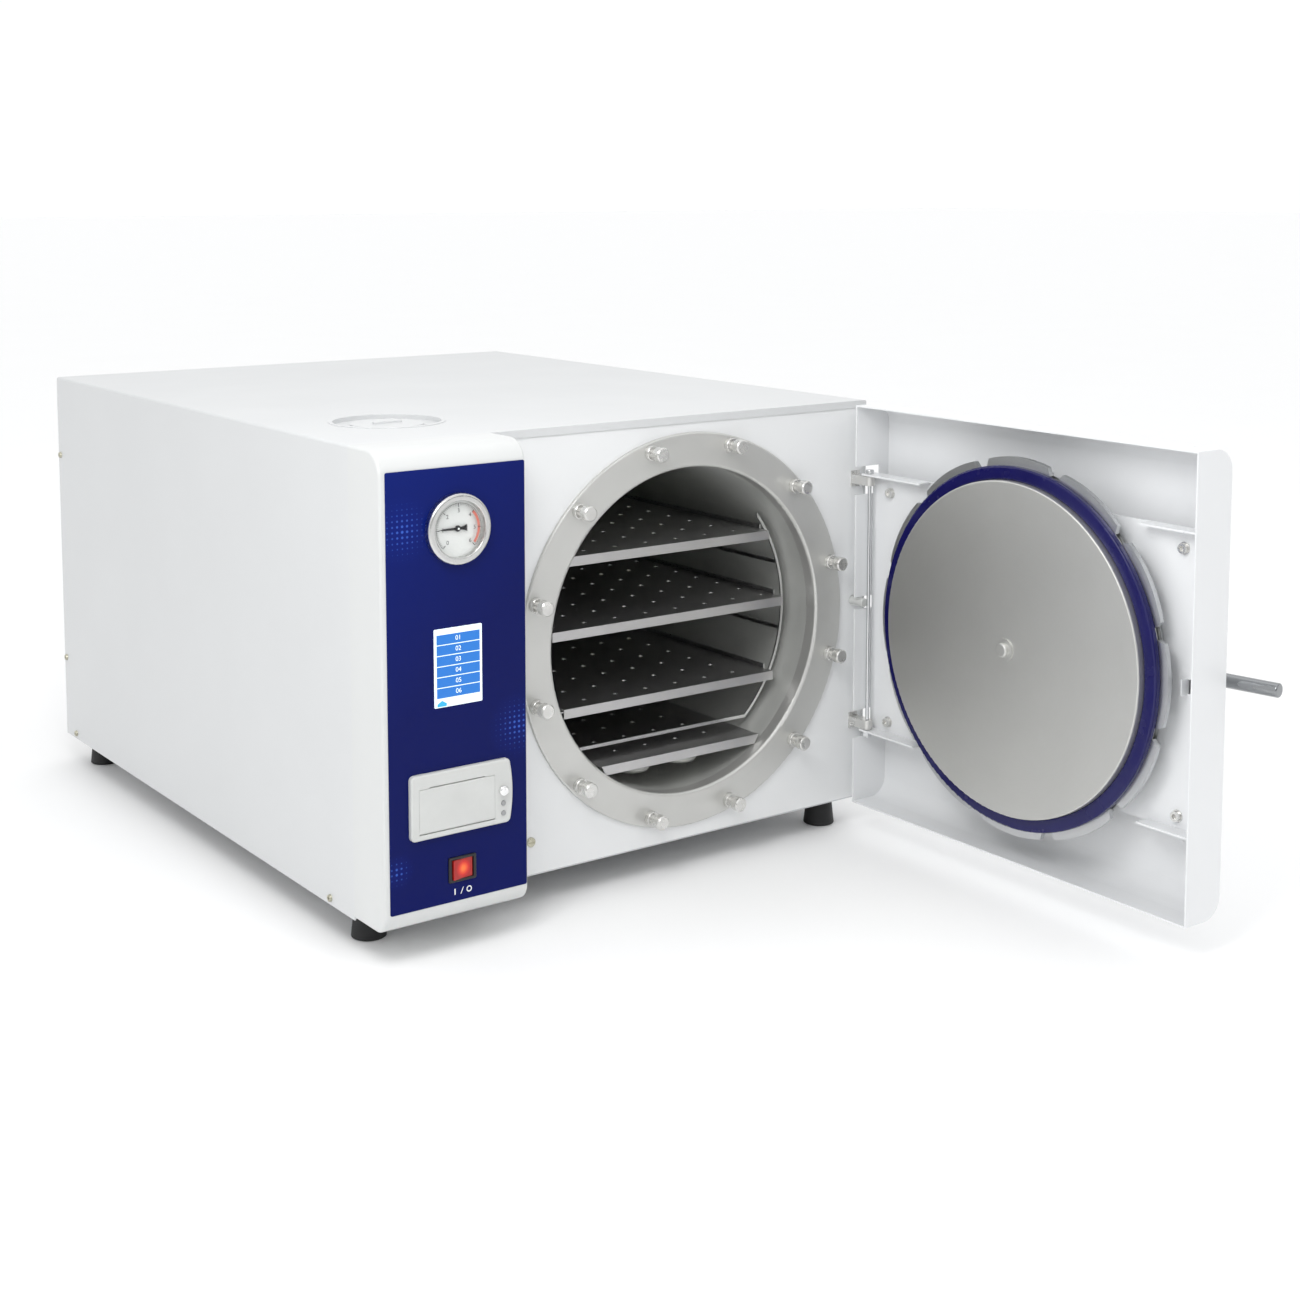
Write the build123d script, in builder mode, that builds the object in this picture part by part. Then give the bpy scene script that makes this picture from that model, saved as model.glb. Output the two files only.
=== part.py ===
"""Benchtop steam autoclave: a sheet-steel cabinet around a horizontal pressure
chamber, with a control column on the left and a side-hung door on the right.

Millimetres, +Z up, +Y towards the back. The origin is on the bench, under the
middle of the whole object with its door open at a right angle.
"""

import os
from math import cos, radians, sin, sqrt

from build123d import *

# ---------------------------------------------------------------- cabinet
WIDTH = 650.0
DEPTH = 790.0
HEIGHT = 458.0
FOOT_HEIGHT = 34.0
SHEET = 1.5
PAN_SHEET = 2.0
LIP_HEIGHT = 8.0
PAN_FLANGE = 20.0
REAR_FACE = DEPTH - 3.0

# where the cabinet's front left bottom corner stands in the part's frame
LEFT = -355.0
FRONT = -144.25
BOTTOM = FOOT_HEIGHT

# ---------------------------------------------------------------- column
COLUMN_WIDTH = 158.0
COLUMN_FACE = -62.0
COLUMN_TOP_RADIUS = 24.0
COLUMN_FOOT_RADIUS = 18.0
COLUMN_WALL = 2.0
OVERLAY = 0.5
OVERLAY_FACE = COLUMN_FACE - OVERLAY

GAUGE = (81.0, 380.0)
GAUGE_RADIUS = 34.0
GAUGE_BODY_RADIUS = 29.0
DISPLAY = (81.0, 249.0)
DISPLAY_SIZE = (52.0, 75.0)
PRINTER = (81.5, 120.0)
PRINTER_SIZE = (110.0, 63.0)
SWITCH = (83.0, 52.25)
SWITCH_BEZEL = (30.0, 24.5)
SWITCH_HOLE = (27.0, 21.5)
SWITCH_TILT = 8.0
ROCKER_PIVOT = 3.0

# ---------------------------------------------------------------- chamber
AXIS = (400.0, 228.0)
BORE = 175.0
CHAMBER_DEPTH = 650.0
CHAMBER_WALL = 3.0
CHAMBER_END = 4.0
FLANGE_RADIUS = 212.0
FLANGE_FACE = -4.0
FLANGE_BACK = 12.0
STUD_COUNT = 12
STUD_CIRCLE = 201.6
STUD_SHANK = 5.0
STUD_HEAD = 7.75
JACKET = 22.0
JACKET_GAP = 0.5
BAFFLE_TOP = 94.5

# tray: height of its plate, half its width
TRAYS = {
    "tray_upper": (317.0, 133.0),
    "tray_middle": (240.0, 154.0),
    "tray_lower": (157.0, 140.0),
}
TRAY_FRONT = 28.0
TRAY_BACK = 590.0
TRAY_SHEET = 1.2
TRAY_LIP = 10.0
TRAY_SIDE_LIP = 6.0
RACK_RADIUS = 168.5
RACK_INNER = 165.5
RACK_FRONT = 45.0
RACK_BACK = 600.0

# ---------------------------------------------------------------- door
HINGE = (635.0, -25.0)
DOOR_LEFT = 176.0
DOOR_RIGHT = 644.0
DOOR_RIM = -11.5
DOOR_FACE = -61.5
DOOR_TOP = 455.0
DOOR_FOOT = 2.0
DOOR_RADIUS = 22.0
DOOR_SHEET = 1.5
PLATE_FACE = -36.0
PLATE_SHEET = 2.0
PLATE_TOP = 378.0
PLATE_FOOT = 84.0
ROD_RADIUS = 2.2
GASKET_FACE = FLANGE_FACE - 0.5
GASKET_RADIUS = 187.5
GASKET_INNER = 173.0
GASKET_BACK = -11.0
LOBE_RADIUS = 196.6
LOBE_FRONT = -11.5
LOBE_SHEET = 5.0
RIM_BACK = -18.0
RIM_SLOPE = 37.0
RING_RADIUS = 187.2
RING_BORE = 184.3
HUB_RADIUS = 17.0
SPINDLE_RADIUS = 7.0
RUNNING = 0.05
LEVER_RADIUS = 7.0
LEVER_REACH = 265.0
LEVER_OFFSET = -73.5


# ---------------------------------------------------------------- datums
def at(x, y, z):
    """A point given from the cabinet's front left bottom corner."""
    return (LEFT + x, FRONT + y, BOTTOM + z)


def facing(y):
    """Upright sketch plane at depth y: right and up, normal towards the user."""
    return Plane(origin=at(0, y, 0), x_dir=(1, 0, 0), z_dir=(0, -1, 0))


def level(z):
    """Flat sketch plane at height z: right and back, normal up."""
    return Plane(origin=at(0, 0, z), x_dir=(1, 0, 0), z_dir=(0, 0, 1))


def side(x):
    """Upright sketch plane at x: back and up, normal to the right."""
    return Plane(origin=at(x, 0, 0), x_dir=(0, 1, 0), z_dir=(1, 0, 0))


# The door is drawn where it stands when closed and swung open by a right angle.
HINGE_POINT = at(HINGE[0], HINGE[1], 0)
SWING = (
    Location(HINGE_POINT)
    * Location((0, 0, 0), (0, 0, 90))
    * Location((-HINGE_POINT[0], -HINGE_POINT[1], -HINGE_POINT[2]))
)


def swung(plane):
    """A closed-door sketch plane, carried round to the open door."""
    return Plane(SWING * plane.location)


def swung_at(x, y, z):
    """A closed-door point, carried round to the open door."""
    return SWING * Location(at(x, y, z))


# ---------------------------------------------------------------- helpers
def block(x, y, z, mode=Mode.ADD):
    """A box between pairs of limits, in cabinet coordinates."""
    with Locations(at((x[0] + x[1]) / 2, (y[0] + y[1]) / 2, (z[0] + z[1]) / 2)):
        Box(x[1] - x[0], y[1] - y[0], z[1] - z[0], mode=mode)


def door_block(x, y, z, mode=Mode.ADD):
    """A box between pairs of limits on the closed door."""
    with Locations(swung_at((x[0] + x[1]) / 2, (y[0] + y[1]) / 2, (z[0] + z[1]) / 2)):
        Box(x[1] - x[0], y[1] - y[0], z[1] - z[0], mode=mode)


def post(x, z, y, radius, mode=Mode.ADD):
    """A round bar from front to back between two depths."""
    with Locations(at(x, (y[0] + y[1]) / 2, z)):
        Cylinder(radius, y[1] - y[0], rotation=(90, 0, 0), mode=mode)


def door_post(x, z, y, radius, mode=Mode.ADD):
    """A round bar square to the closed door between two depths."""
    with Locations(swung_at(x, (y[0] + y[1]) / 2, z)):
        Cylinder(radius, y[1] - y[0], rotation=(90, 0, 0), mode=mode)


def pillar(x, y, z, radius, mode=Mode.ADD):
    """An upright round bar between two heights."""
    with Locations(at(x, y, (z[0] + z[1]) / 2)):
        Cylinder(radius, z[1] - z[0], mode=mode)


def save(builder, name):
    """Label a finished sub-part and write it to its own file."""
    builder.part.label = name
    export_step(builder.part, f"parts/{name}.step")


# ---------------------------------------------------------------- cabinet
FILLER = (118.0, 140.0)
FILLER_RADIUS = 60.0
SIDE_SCREWS = [(49.0, 7.0), (755.0, 7.0), (783.0, 100.0), (783.0, 360.0)]
FEET = [(34.0, 35.0), (616.0, 35.0), (34.0, 750.0), (616.0, 750.0)]
FOOT_RADIUS = 17.7
FOOT_TAPER = 6.0
PANEL_SCREW = (200.0, 36.0)


def make_cabinet_cover():
    with BuildPart() as cabinet_cover:
        with BuildSketch(facing(-SHEET)):
            with Locations((WIDTH / 2, HEIGHT / 2)):
                Rectangle(WIDTH, HEIGHT)
            with Locations((WIDTH / 2, (HEIGHT - SHEET) / 2)):
                Rectangle(WIDTH - 2 * SHEET, HEIGHT - SHEET, mode=Mode.SUBTRACT)
        extrude(amount=-(DEPTH + SHEET))
        top_edges = cabinet_cover.edges().filter_by(Axis.Y).group_by(Axis.Z)[-1]
        fillet(top_edges, radius=3)
        block(
            (SHEET, WIDTH - SHEET), (-SHEET, 0), (HEIGHT - LIP_HEIGHT, HEIGHT - SHEET)
        )
        pillar(*FILLER, (HEIGHT - 5, HEIGHT + 5), FILLER_RADIUS - 3, Mode.SUBTRACT)
    save(cabinet_cover, "cabinet_cover")


def make_base_pan():
    x = (SHEET, WIDTH - SHEET)
    y = (SHEET, DEPTH - SHEET)
    with BuildPart() as base_pan:
        block(x, y, (0, PAN_SHEET))
        for edge in ((x[0], x[0] + PAN_SHEET), (x[1] - PAN_SHEET, x[1])):
            block(edge, (SHEET, REAR_FACE), (0, PAN_FLANGE))
        with Locations(*[at(x, y, PAN_SHEET / 2) for x, y in FEET]):
            Hole(2.5, PAN_SHEET * 2)
        with BuildSketch(level(PAN_SHEET)):
            with Locations((400, 700)):
                with GridLocations(18, 18, 12, 4):
                    SlotOverall(12, 4, rotation=90)
        extrude(amount=-PAN_SHEET, mode=Mode.SUBTRACT)
    save(base_pan, "base_pan")


def make_rubber_feet():
    with BuildPart() as rubber_feet:
        for x, y in FEET:
            with BuildSketch(level(-FOOT_HEIGHT)):
                with Locations((x, y)):
                    Circle(FOOT_RADIUS)
            extrude(amount=FOOT_HEIGHT, taper=FOOT_TAPER)
        foot_rims = rubber_feet.edges().filter_by(GeomType.CIRCLE).group_by(Axis.Z)[0]
        fillet(foot_rims, radius=1.5)
        for x, y in FEET:
            pillar(x, y, (-FOOT_HEIGHT, -FOOT_HEIGHT + 6), 6, Mode.SUBTRACT)
            pillar(x, y, (-FOOT_HEIGHT + 5, 0), 2.5, Mode.SUBTRACT)
    save(rubber_feet, "rubber_feet")


FAN = (105.0, 120.0)
FAN_SIZE = 92.0
INLET = (250.0, 46.0)
EXHAUST = (420.0, 60.0)
TANK_DRAIN = (70.0, 40.0)
SAFETY = (400.0, 440.0)


def make_rear_panel():
    with BuildPart() as rear_panel:
        block(
            (SHEET, WIDTH - SHEET),
            (REAR_FACE, REAR_FACE + SHEET),
            (PAN_SHEET, HEIGHT - SHEET),
        )
        for x in ((SHEET, 2 * SHEET), (WIDTH - 2 * SHEET, WIDTH - SHEET)):
            block(x, (REAR_FACE - 14, REAR_FACE), (PAN_FLANGE, HEIGHT - SHEET))
        with BuildSketch(facing(REAR_FACE)):
            with Locations(FAN):
                for outer in (41, 32, 23, 14):
                    Circle(outer)
                    Circle(outer - 6, mode=Mode.SUBTRACT)
                Rectangle(90, 4, mode=Mode.SUBTRACT)
                Rectangle(4, 90, mode=Mode.SUBTRACT)
        extrude(amount=-SHEET, mode=Mode.SUBTRACT)
        with BuildSketch(facing(REAR_FACE)):
            with Locations((150, 340), (500, 340)):
                with GridLocations(18, 1, 9, 1):
                    SlotOverall(110, 5, rotation=90)
            with Locations(INLET):
                Rectangle(32, 25)
            with Locations(EXHAUST, TANK_DRAIN):
                Circle(8.1)
        extrude(amount=-SHEET, mode=Mode.SUBTRACT)
    save(rear_panel, "rear_panel")


def make_case_screws():
    """Cover screws at the sides, foot bolts with nuts, and one panel screw."""
    with BuildPart() as case_screws:
        for x, y in FEET:
            pillar(x, y, (-FOOT_HEIGHT + 6, PAN_SHEET + 5), 2.4)
            pillar(x, y, (-FOOT_HEIGHT + 2, -FOOT_HEIGHT + 5.9), 4.5)
            with BuildSketch(level(PAN_SHEET)):
                with Locations((x, y)):
                    RegularPolygon(4.6, 6)
            extrude(amount=4)
        screw_x, screw_z = PANEL_SCREW
        post(screw_x, screw_z, (-2.5, 0), 5)
        rim = case_screws.edges().filter_by(GeomType.CIRCLE).sort_by(Axis.Y)[0]
        fillet(rim, radius=1.2)
        slot = (screw_z - 0.6, screw_z + 0.6)
        block((screw_x - 3.5, screw_x + 3.5), (-3, -1.6), slot, Mode.SUBTRACT)
        for y, z in SIDE_SCREWS:
            for face, outward in ((0.0, -1), (WIDTH, 1)):
                with BuildSketch(side(face)):
                    with Locations((y, z)):
                        Circle(3.8)
                extrude(amount=2.2 * outward, taper=12)
                with BuildSketch(side(face + 2.2 * outward)):
                    with Locations((y, z)):
                        Rectangle(4.2, 0.9)
                        Rectangle(0.9, 4.2)
                extrude(amount=-1.1 * outward, mode=Mode.SUBTRACT)
    save(case_screws, "case_screws")


LUG_HEIGHTS = (PLATE_TOP - 8.0, PLATE_FOOT + 8.0)
LUG_HALF = 5.0
PIN = (633.0, 231.0)
PIN_RADIUS = 5.0
PIN_GAP = 0.3


def make_front_panel():
    with BuildPart() as front_panel:
        block((SHEET, WIDTH - SHEET), (0, SHEET), (PAN_SHEET, HEIGHT - SHEET))
        for x in ((SHEET, 2 * SHEET), (WIDTH - 2 * SHEET, WIDTH - SHEET)):
            block(x, (SHEET, 16), (PAN_FLANGE, HEIGHT - SHEET))
        post(*AXIS, (-5, 5), FLANGE_RADIUS + 0.05, Mode.SUBTRACT)
        block((16, 142), (-5, 5), (40, 430), Mode.SUBTRACT)
        post(*PIN, (-5, 5), PIN_RADIUS + PIN_GAP, Mode.SUBTRACT)
    save(front_panel, "front_panel")


# ---------------------------------------------------------------- column
def rounded_profile(face, back, foot, top, foot_radius, top_radius):
    """A side profile with its front corners rounded, open sketch coordinates."""
    with BuildSketch() as profile:
        with BuildLine():
            Polyline(
                (face + foot_radius, foot), (back, foot), (back, top), (face + top_radius, top)
            )
            RadiusArc((face + top_radius, top), (face, top - top_radius), -top_radius)
            Line((face, top - top_radius), (face, foot + foot_radius))
            RadiusArc((face, foot + foot_radius), (face + foot_radius, foot), -foot_radius)
        make_face()
    return profile.sketch_local


def column_profile(inset):
    """The column seen from its side, rounded at the top and the foot."""
    return rounded_profile(
        COLUMN_FACE + inset,
        -SHEET,
        2.0 + inset,
        HEIGHT - inset,
        COLUMN_FOOT_RADIUS - inset,
        COLUMN_TOP_RADIUS - inset,
    )


def cut_front(y, openings, through=8.0):
    """Cut rectangular or round openings, given as (centre, size), behind y."""
    with BuildSketch(facing(y)) as cutter:
        for centre, size in openings:
            with Locations(centre):
                if isinstance(size, tuple):
                    Rectangle(*size)
                else:
                    Circle(size)
    extrude(cutter.sketch, amount=-through, mode=Mode.SUBTRACT)


DISPLAY_HOLE = (DISPLAY_SIZE[0] - 6, DISPLAY_SIZE[1] - 6)
PRINTER_HOLE = (100.0, 55.0)
COLUMN_OPENINGS = [
    (GAUGE, GAUGE_BODY_RADIUS + 0.5),
    (DISPLAY, DISPLAY_HOLE),
    (PRINTER, PRINTER_HOLE),
    (SWITCH, SWITCH_HOLE),
]


def make_column_cover():
    with BuildPart() as column_cover:
        with BuildSketch(side(0)):
            add(column_profile(0))
        extrude(amount=COLUMN_WIDTH)
        outer = column_cover.faces().filter_by(Axis.X)
        rims = outer.edges() - column_cover.faces().sort_by(Axis.Y)[-1].edges()
        fillet(rims, radius=3)
        with BuildSketch(side(COLUMN_WALL)):
            add(column_profile(COLUMN_WALL))
        extrude(amount=COLUMN_WIDTH - 2 * COLUMN_WALL, mode=Mode.SUBTRACT)
        cut_front(COLUMN_FACE - 1, COLUMN_OPENINGS)
    save(column_cover, "column_cover")


def make_control_overlay():
    with BuildPart() as control_overlay:
        with BuildSketch(facing(COLUMN_FACE)):
            with Locations((81, 229.75)):
                RectangleRounded(150, 417.5, 2)
        extrude(amount=OVERLAY)
        cut_front(COLUMN_FACE - 1, COLUMN_OPENINGS)
    save(control_overlay, "control_overlay")


def make_gauge_case():
    bezel_face = OVERLAY_FACE - 8
    with BuildPart() as gauge_case:
        post(*GAUGE, (bezel_face, OVERLAY_FACE), GAUGE_RADIUS)
        post(*GAUGE, (OVERLAY_FACE, OVERLAY_FACE + 26), GAUGE_BODY_RADIUS)
        front_rim = gauge_case.edges().filter_by(GeomType.CIRCLE).sort_by(Axis.Y)[0]
        fillet(front_rim, radius=3.0)
        post(*GAUGE, (bezel_face - 1, OVERLAY_FACE + 22), GAUGE_BODY_RADIUS - 2, Mode.SUBTRACT)
        front_rims = gauge_case.edges().filter_by(GeomType.CIRCLE).group_by(Axis.Y)[0]
        fillet(front_rims.sort_by(SortBy.RADIUS)[0], radius=1.2)
        post(*GAUGE, (OVERLAY_FACE + 26, OVERLAY_FACE + 40), 6)
    save(gauge_case, "gauge_case")


DIAL_FACE = OVERLAY_FACE - 0.5


def make_gauge_dial():
    with BuildPart() as gauge_dial:
        post(*GAUGE, (DIAL_FACE, DIAL_FACE + 1), GAUGE_BODY_RADIUS - 2)
        post(*GAUGE, (DIAL_FACE + 1, OVERLAY_FACE + 22), 9)
        post(*GAUGE, (DIAL_FACE - 3.4, DIAL_FACE), 1.0)
    save(gauge_dial, "gauge_dial")


def make_gauge_pointer():
    """A flat pointer that lies towards nine o'clock, with a tail weight."""
    x, z = GAUGE
    with BuildPart() as gauge_pointer:
        with BuildSketch(facing(DIAL_FACE - 1.2)):
            with BuildLine():
                Polyline(
                    (x - 20, z),
                    (x - 14, z + 0.9),
                    (x + 5, z + 1.3),
                    (x + 10, z + 3.2),
                    (x + 10, z - 3.2),
                    (x + 5, z - 1.3),
                    (x - 14, z - 0.9),
                    (x - 20, z),
                )
            make_face()
            with Locations((x, z)):
                Circle(3)
        extrude(amount=0.8)
        post(x, z, (DIAL_FACE - 3, DIAL_FACE - 0.8), 2)
        post(x, z, (DIAL_FACE - 4, DIAL_FACE), 1.0 + RUNNING, Mode.SUBTRACT)
    save(gauge_pointer, "gauge_pointer")


def make_gauge_window():
    with BuildPart() as gauge_window:
        post(*GAUGE, (OVERLAY_FACE - 6.6, OVERLAY_FACE - 4.8), GAUGE_BODY_RADIUS - 2)
    save(gauge_window, "gauge_window")


def make_display_window():
    with BuildPart() as display_window:
        with BuildSketch(facing(OVERLAY_FACE)):
            with Locations(DISPLAY):
                RectangleRounded(*DISPLAY_SIZE, 1.0)
        extrude(amount=0.8)
        front_face = display_window.faces().sort_by(Axis.Y)[0]
        chamfer(front_face.edges(), length=0.3)
    save(display_window, "display_window")


PRINTER_FACE = OVERLAY_FACE - 5.0
LID_LEFT = 35.0
LID_RIGHT = 117.5
LID_FOOT = 94.0
LID_TOP = 138.0
LID_GAP = 0.2
LID_HINGE = (PRINTER_FACE + 2.1, LID_FOOT + 2.5)
KNOB = (126.0, 121.5)
PRINTER_BUTTONS = {"printer_feed_button": (126.8, 108.6), "printer_power_button": (126.8, 98.8)}
BUTTON_RADIUS = 2.4
PAPER_RADIUS = 17.0
PAPER_AXIS = (-36.0, 118.0)


def make_printer_housing():
    x, z = PRINTER
    with BuildPart() as printer_housing:
        with BuildSketch(facing(OVERLAY_FACE)) as outline:
            right, half = x + PRINTER_SIZE[0] / 2, PRINTER_SIZE[1] / 2
            left = x - PRINTER_SIZE[0] / 2
            with BuildLine():
                ThreePointArc((right - 2, z - half), (right + 1.5, z), (right - 2, z + half))
                Polyline(
                    (right - 2, z + half), (left, z + half), (left, z - half), (right - 2, z - half)
                )
            make_face()
            fillet(outline.vertices(), radius=5)
        extrude(amount=5)
        front_face = printer_housing.faces().sort_by(Axis.Y)[0]
        fillet(front_face.edges(), radius=2.2)
        block((x - 49.5, x + 49.5), (OVERLAY_FACE, -14), (z - 27, z + 27))
        block((LID_LEFT, LID_RIGHT), (-90, -16), (LID_FOOT, LID_TOP), Mode.SUBTRACT)
        block((LID_LEFT + 6, LID_RIGHT - 6), (-60, -16), (LID_FOOT, LID_TOP + 6), Mode.SUBTRACT)
        block((46, 106.5), (-90, -16), (LID_TOP - 1, LID_TOP + 0.9), Mode.SUBTRACT)
        post(*KNOB, (-90, -50), 2.0 + RUNNING, Mode.SUBTRACT)
        for centre in PRINTER_BUTTONS.values():
            post(*centre, (-90, PRINTER_FACE + 6), BUTTON_RADIUS + 0.25, Mode.SUBTRACT)
        hinge_y, hinge_z = LID_HINGE
        for near, far in ((LID_LEFT - 3, LID_LEFT), (LID_RIGHT, LID_RIGHT + 3)):
            with Locations(at((near + far) / 2, hinge_y, hinge_z)):
                Cylinder(1.5, far - near, rotation=(0, 90, 0), mode=Mode.SUBTRACT)
    save(printer_housing, "printer_housing")


def make_printer_lid():
    """The paper lid: a plate that tips forward on two stub pins at its foot."""
    hinge_y, hinge_z = LID_HINGE
    with BuildPart() as printer_lid:
        block(
            (LID_LEFT + LID_GAP, LID_RIGHT - LID_GAP),
            (PRINTER_FACE, PRINTER_FACE + 3.5),
            (hinge_z, LID_TOP - LID_GAP),
        )
        front_face = printer_lid.faces().sort_by(Axis.Y)[0]
        fillet(front_face.edges().sort_by(Axis.Z)[-1], radius=1.2)
        with Locations(at((LID_LEFT + LID_RIGHT) / 2, hinge_y, hinge_z)):
            Cylinder(2.1, LID_RIGHT - LID_LEFT - 2 * LID_GAP, rotation=(0, 90, 0))
        with Locations(at((LID_LEFT + LID_RIGHT) / 2, hinge_y, hinge_z)):
            Cylinder(1.45, LID_RIGHT - LID_LEFT + 5, rotation=(0, 90, 0))
    save(printer_lid, "printer_lid")


def make_paper_roll():
    y, z = PAPER_AXIS
    with BuildPart() as paper_roll:
        with Locations(at((LID_LEFT + LID_RIGHT) / 2, y, z)):
            Cylinder(PAPER_RADIUS, 57, rotation=(0, 90, 0))
            Cylinder(6, 60, rotation=(0, 90, 0), mode=Mode.SUBTRACT)
    save(paper_roll, "paper_roll")


def make_printer_knob():
    with BuildPart() as printer_knob:
        post(*KNOB, (PRINTER_FACE - 4.5, PRINTER_FACE - 0.2), 5.0)
        rim = printer_knob.edges().filter_by(GeomType.CIRCLE).sort_by(Axis.Y)[0]
        fillet(rim, radius=1.5)
        post(*KNOB, (PRINTER_FACE - 0.2, PRINTER_FACE + 9), 2.0)
        x, z = KNOB
        block(
            (x - 0.5, x + 0.5),
            (PRINTER_FACE - 5, PRINTER_FACE - 4),
            (z + 1, z + 4.6),
            Mode.SUBTRACT,
        )
    save(printer_knob, "printer_knob")


def make_printer_buttons():
    for name, centre in PRINTER_BUTTONS.items():
        with BuildPart() as printer_button:
            post(*centre, (PRINTER_FACE - 1.2, PRINTER_FACE + 4.5), BUTTON_RADIUS)
            rim = printer_button.edges().filter_by(GeomType.CIRCLE).sort_by(Axis.Y)[0]
            fillet(rim, radius=0.5)
        save(printer_button, name)


def make_switch_bezel():
    x, z = SWITCH
    with BuildPart() as switch_bezel:
        with BuildSketch(facing(OVERLAY_FACE)):
            with Locations(SWITCH):
                RectangleRounded(*SWITCH_BEZEL, 1.5)
        extrude(amount=2)
        front_face = switch_bezel.faces().sort_by(Axis.Y)[0]
        fillet(front_face.edges(), radius=0.7)
        block((x - 13.3, x + 13.3), (OVERLAY_FACE, -34), (z - 10.5, z + 10.5))
        block((x - 12, x + 12), (-80, -48), (z - 9.7, z + 9.7), Mode.SUBTRACT)
        with Locations(*[at(x + dx, -31, z) for dx in (-8, 0, 8)]):
            Box(1, 6.2, 6)
        pillar(x, OVERLAY_FACE + ROCKER_PIVOT, (z - 11, z + 11), 1.2 + RUNNING, Mode.SUBTRACT)
    save(switch_bezel, "switch_bezel")


def make_switch_rocker():
    """A rocker with two slanted faces on an upright pin; its right end is pressed."""
    x, z = SWITCH
    pivot_y = OVERLAY_FACE + ROCKER_PIVOT
    lift = 10.2 * sin(radians(2 * SWITCH_TILT))
    with BuildPart() as switch_rocker:
        with BuildSketch(level(z - 9.4)):
            with BuildLine():
                Polyline(
                    (x - 11.1, OVERLAY_FACE - 1.2 - lift),
                    (x, OVERLAY_FACE - 1.6),
                    (x + 11.1, OVERLAY_FACE - 0.6),
                    (x + 8.5, pivot_y + 6),
                    (x - 8.5, pivot_y + 6),
                    (x - 11.1, OVERLAY_FACE - 1.2 - lift),
                )
            make_face()
        extrude(amount=18.8)
        fillet(switch_rocker.edges().filter_by(Axis.Z).sort_by(Axis.Y)[0], radius=0.8)
        pillar(x, pivot_y, (z - 10.3, z + 10.3), 1.2)
    save(switch_rocker, "switch_rocker")


def make_control_board():
    """The controller's circuit board on pillars, with the display module on it."""
    x, z = DISPLAY
    wide, high = DISPLAY_HOLE
    with BuildPart() as control_board:
        block((x - 27, x + 27), (COLUMN_FACE + 2.2, COLUMN_FACE + 10), (z - 40, z + 40))
        block(
            (x - wide / 2 + 0.2, x + wide / 2 - 0.2),
            (OVERLAY_FACE, COLUMN_FACE + 2.2),
            (z - high / 2 + 0.2, z + high / 2 - 0.2),
        )
        for dx, dz in ((-24, -37), (24, -37), (-24, 37), (24, 37)):
            post(x + dx, z + dz, (COLUMN_FACE + 10, -24), 2.5)
        block((22, 136), (-24, -22.4), (165, 345))
        for x, z in ((28, 172), (130, 172), (28, 338), (130, 338)):
            post(x, z, (-22.4, 0), 3)
        block((50, 74), (-27, -24), (240, 264))
        block((92, 104), (-34, -24), (190, 226))
        block((40, 80), (-32, -24), (320, 334))
        for x in (98, 112, 126):
            post(x, 300, (-38, -24), 5)
    save(control_board, "control_board")


# ---------------------------------------------------------------- chamber
def make_flange_ring():
    with BuildPart() as flange_ring:
        post(*AXIS, (FLANGE_FACE, FLANGE_BACK), FLANGE_RADIUS)
        post(*AXIS, (FLANGE_FACE - 1, FLANGE_BACK + 1), BORE, Mode.SUBTRACT)
        front_rims = flange_ring.edges().filter_by(GeomType.CIRCLE).group_by(Axis.Y)[0]
        mouth_rim, outer_rim = front_rims.sort_by(SortBy.RADIUS)
        fillet(mouth_rim, radius=3.5)
        fillet(outer_rim, radius=1.5)
        with BuildSketch(facing(FLANGE_FACE)):
            with Locations(AXIS):
                with PolarLocations(STUD_CIRCLE, STUD_COUNT, start_angle=15):
                    Circle(STUD_SHANK)
        extrude(amount=-12, mode=Mode.SUBTRACT)
    save(flange_ring, "flange_ring")


def make_lock_studs():
    """Headed studs screwed into the flange, which the locking ring runs behind."""
    collar_end = FLANGE_FACE - 6.0
    neck_end = collar_end - 8.0
    head_end = neck_end - 9.0
    with BuildPart() as lock_studs:
        for index in range(STUD_COUNT):
            angle = radians(15 + 30 * index)
            x = AXIS[0] + STUD_CIRCLE * cos(angle)
            z = AXIS[1] + STUD_CIRCLE * sin(angle)
            post(x, z, (FLANGE_FACE, FLANGE_FACE + 11.8), STUD_SHANK)
            post(x, z, (collar_end, FLANGE_FACE), 8)
            post(x, z, (neck_end, collar_end), 4.5)
            post(x, z, (head_end, neck_end), STUD_HEAD)
        circles = lock_studs.edges().filter_by(GeomType.CIRCLE)
        chamfer(circles.group_by(Axis.Y)[0], length=1.2)
        collars = lock_studs.edges().filter_by(GeomType.CIRCLE).group_by(SortBy.RADIUS)[-1]
        chamfer(collars, length=0.6)
    save(lock_studs, "lock_studs")


HEATER_HEIGHT = 71.0
HEATER_LEGS = [(352.0, 384.0), (416.0, 448.0)]
PROBE = (330.0, 340.0)
STEAM_PORT = (400.0, 372.0)
DRAIN_PORT = (400.0, 80.0)


def vessel_profile(radius, front, back, knuckle):
    """Half of a round vessel's section, from its axis out, in side coordinates."""
    axis_z = AXIS[1]
    rim_z = axis_z + radius
    with BuildSketch() as profile:
        with BuildLine():
            Polyline((back, axis_z), (front, axis_z), (front, rim_z), (back - knuckle, rim_z))
            RadiusArc((back - knuckle, rim_z), (back, rim_z - knuckle), knuckle)
            Line((back, rim_z - knuckle), (back, axis_z))
        make_face()
    return profile.sketch_local


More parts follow.
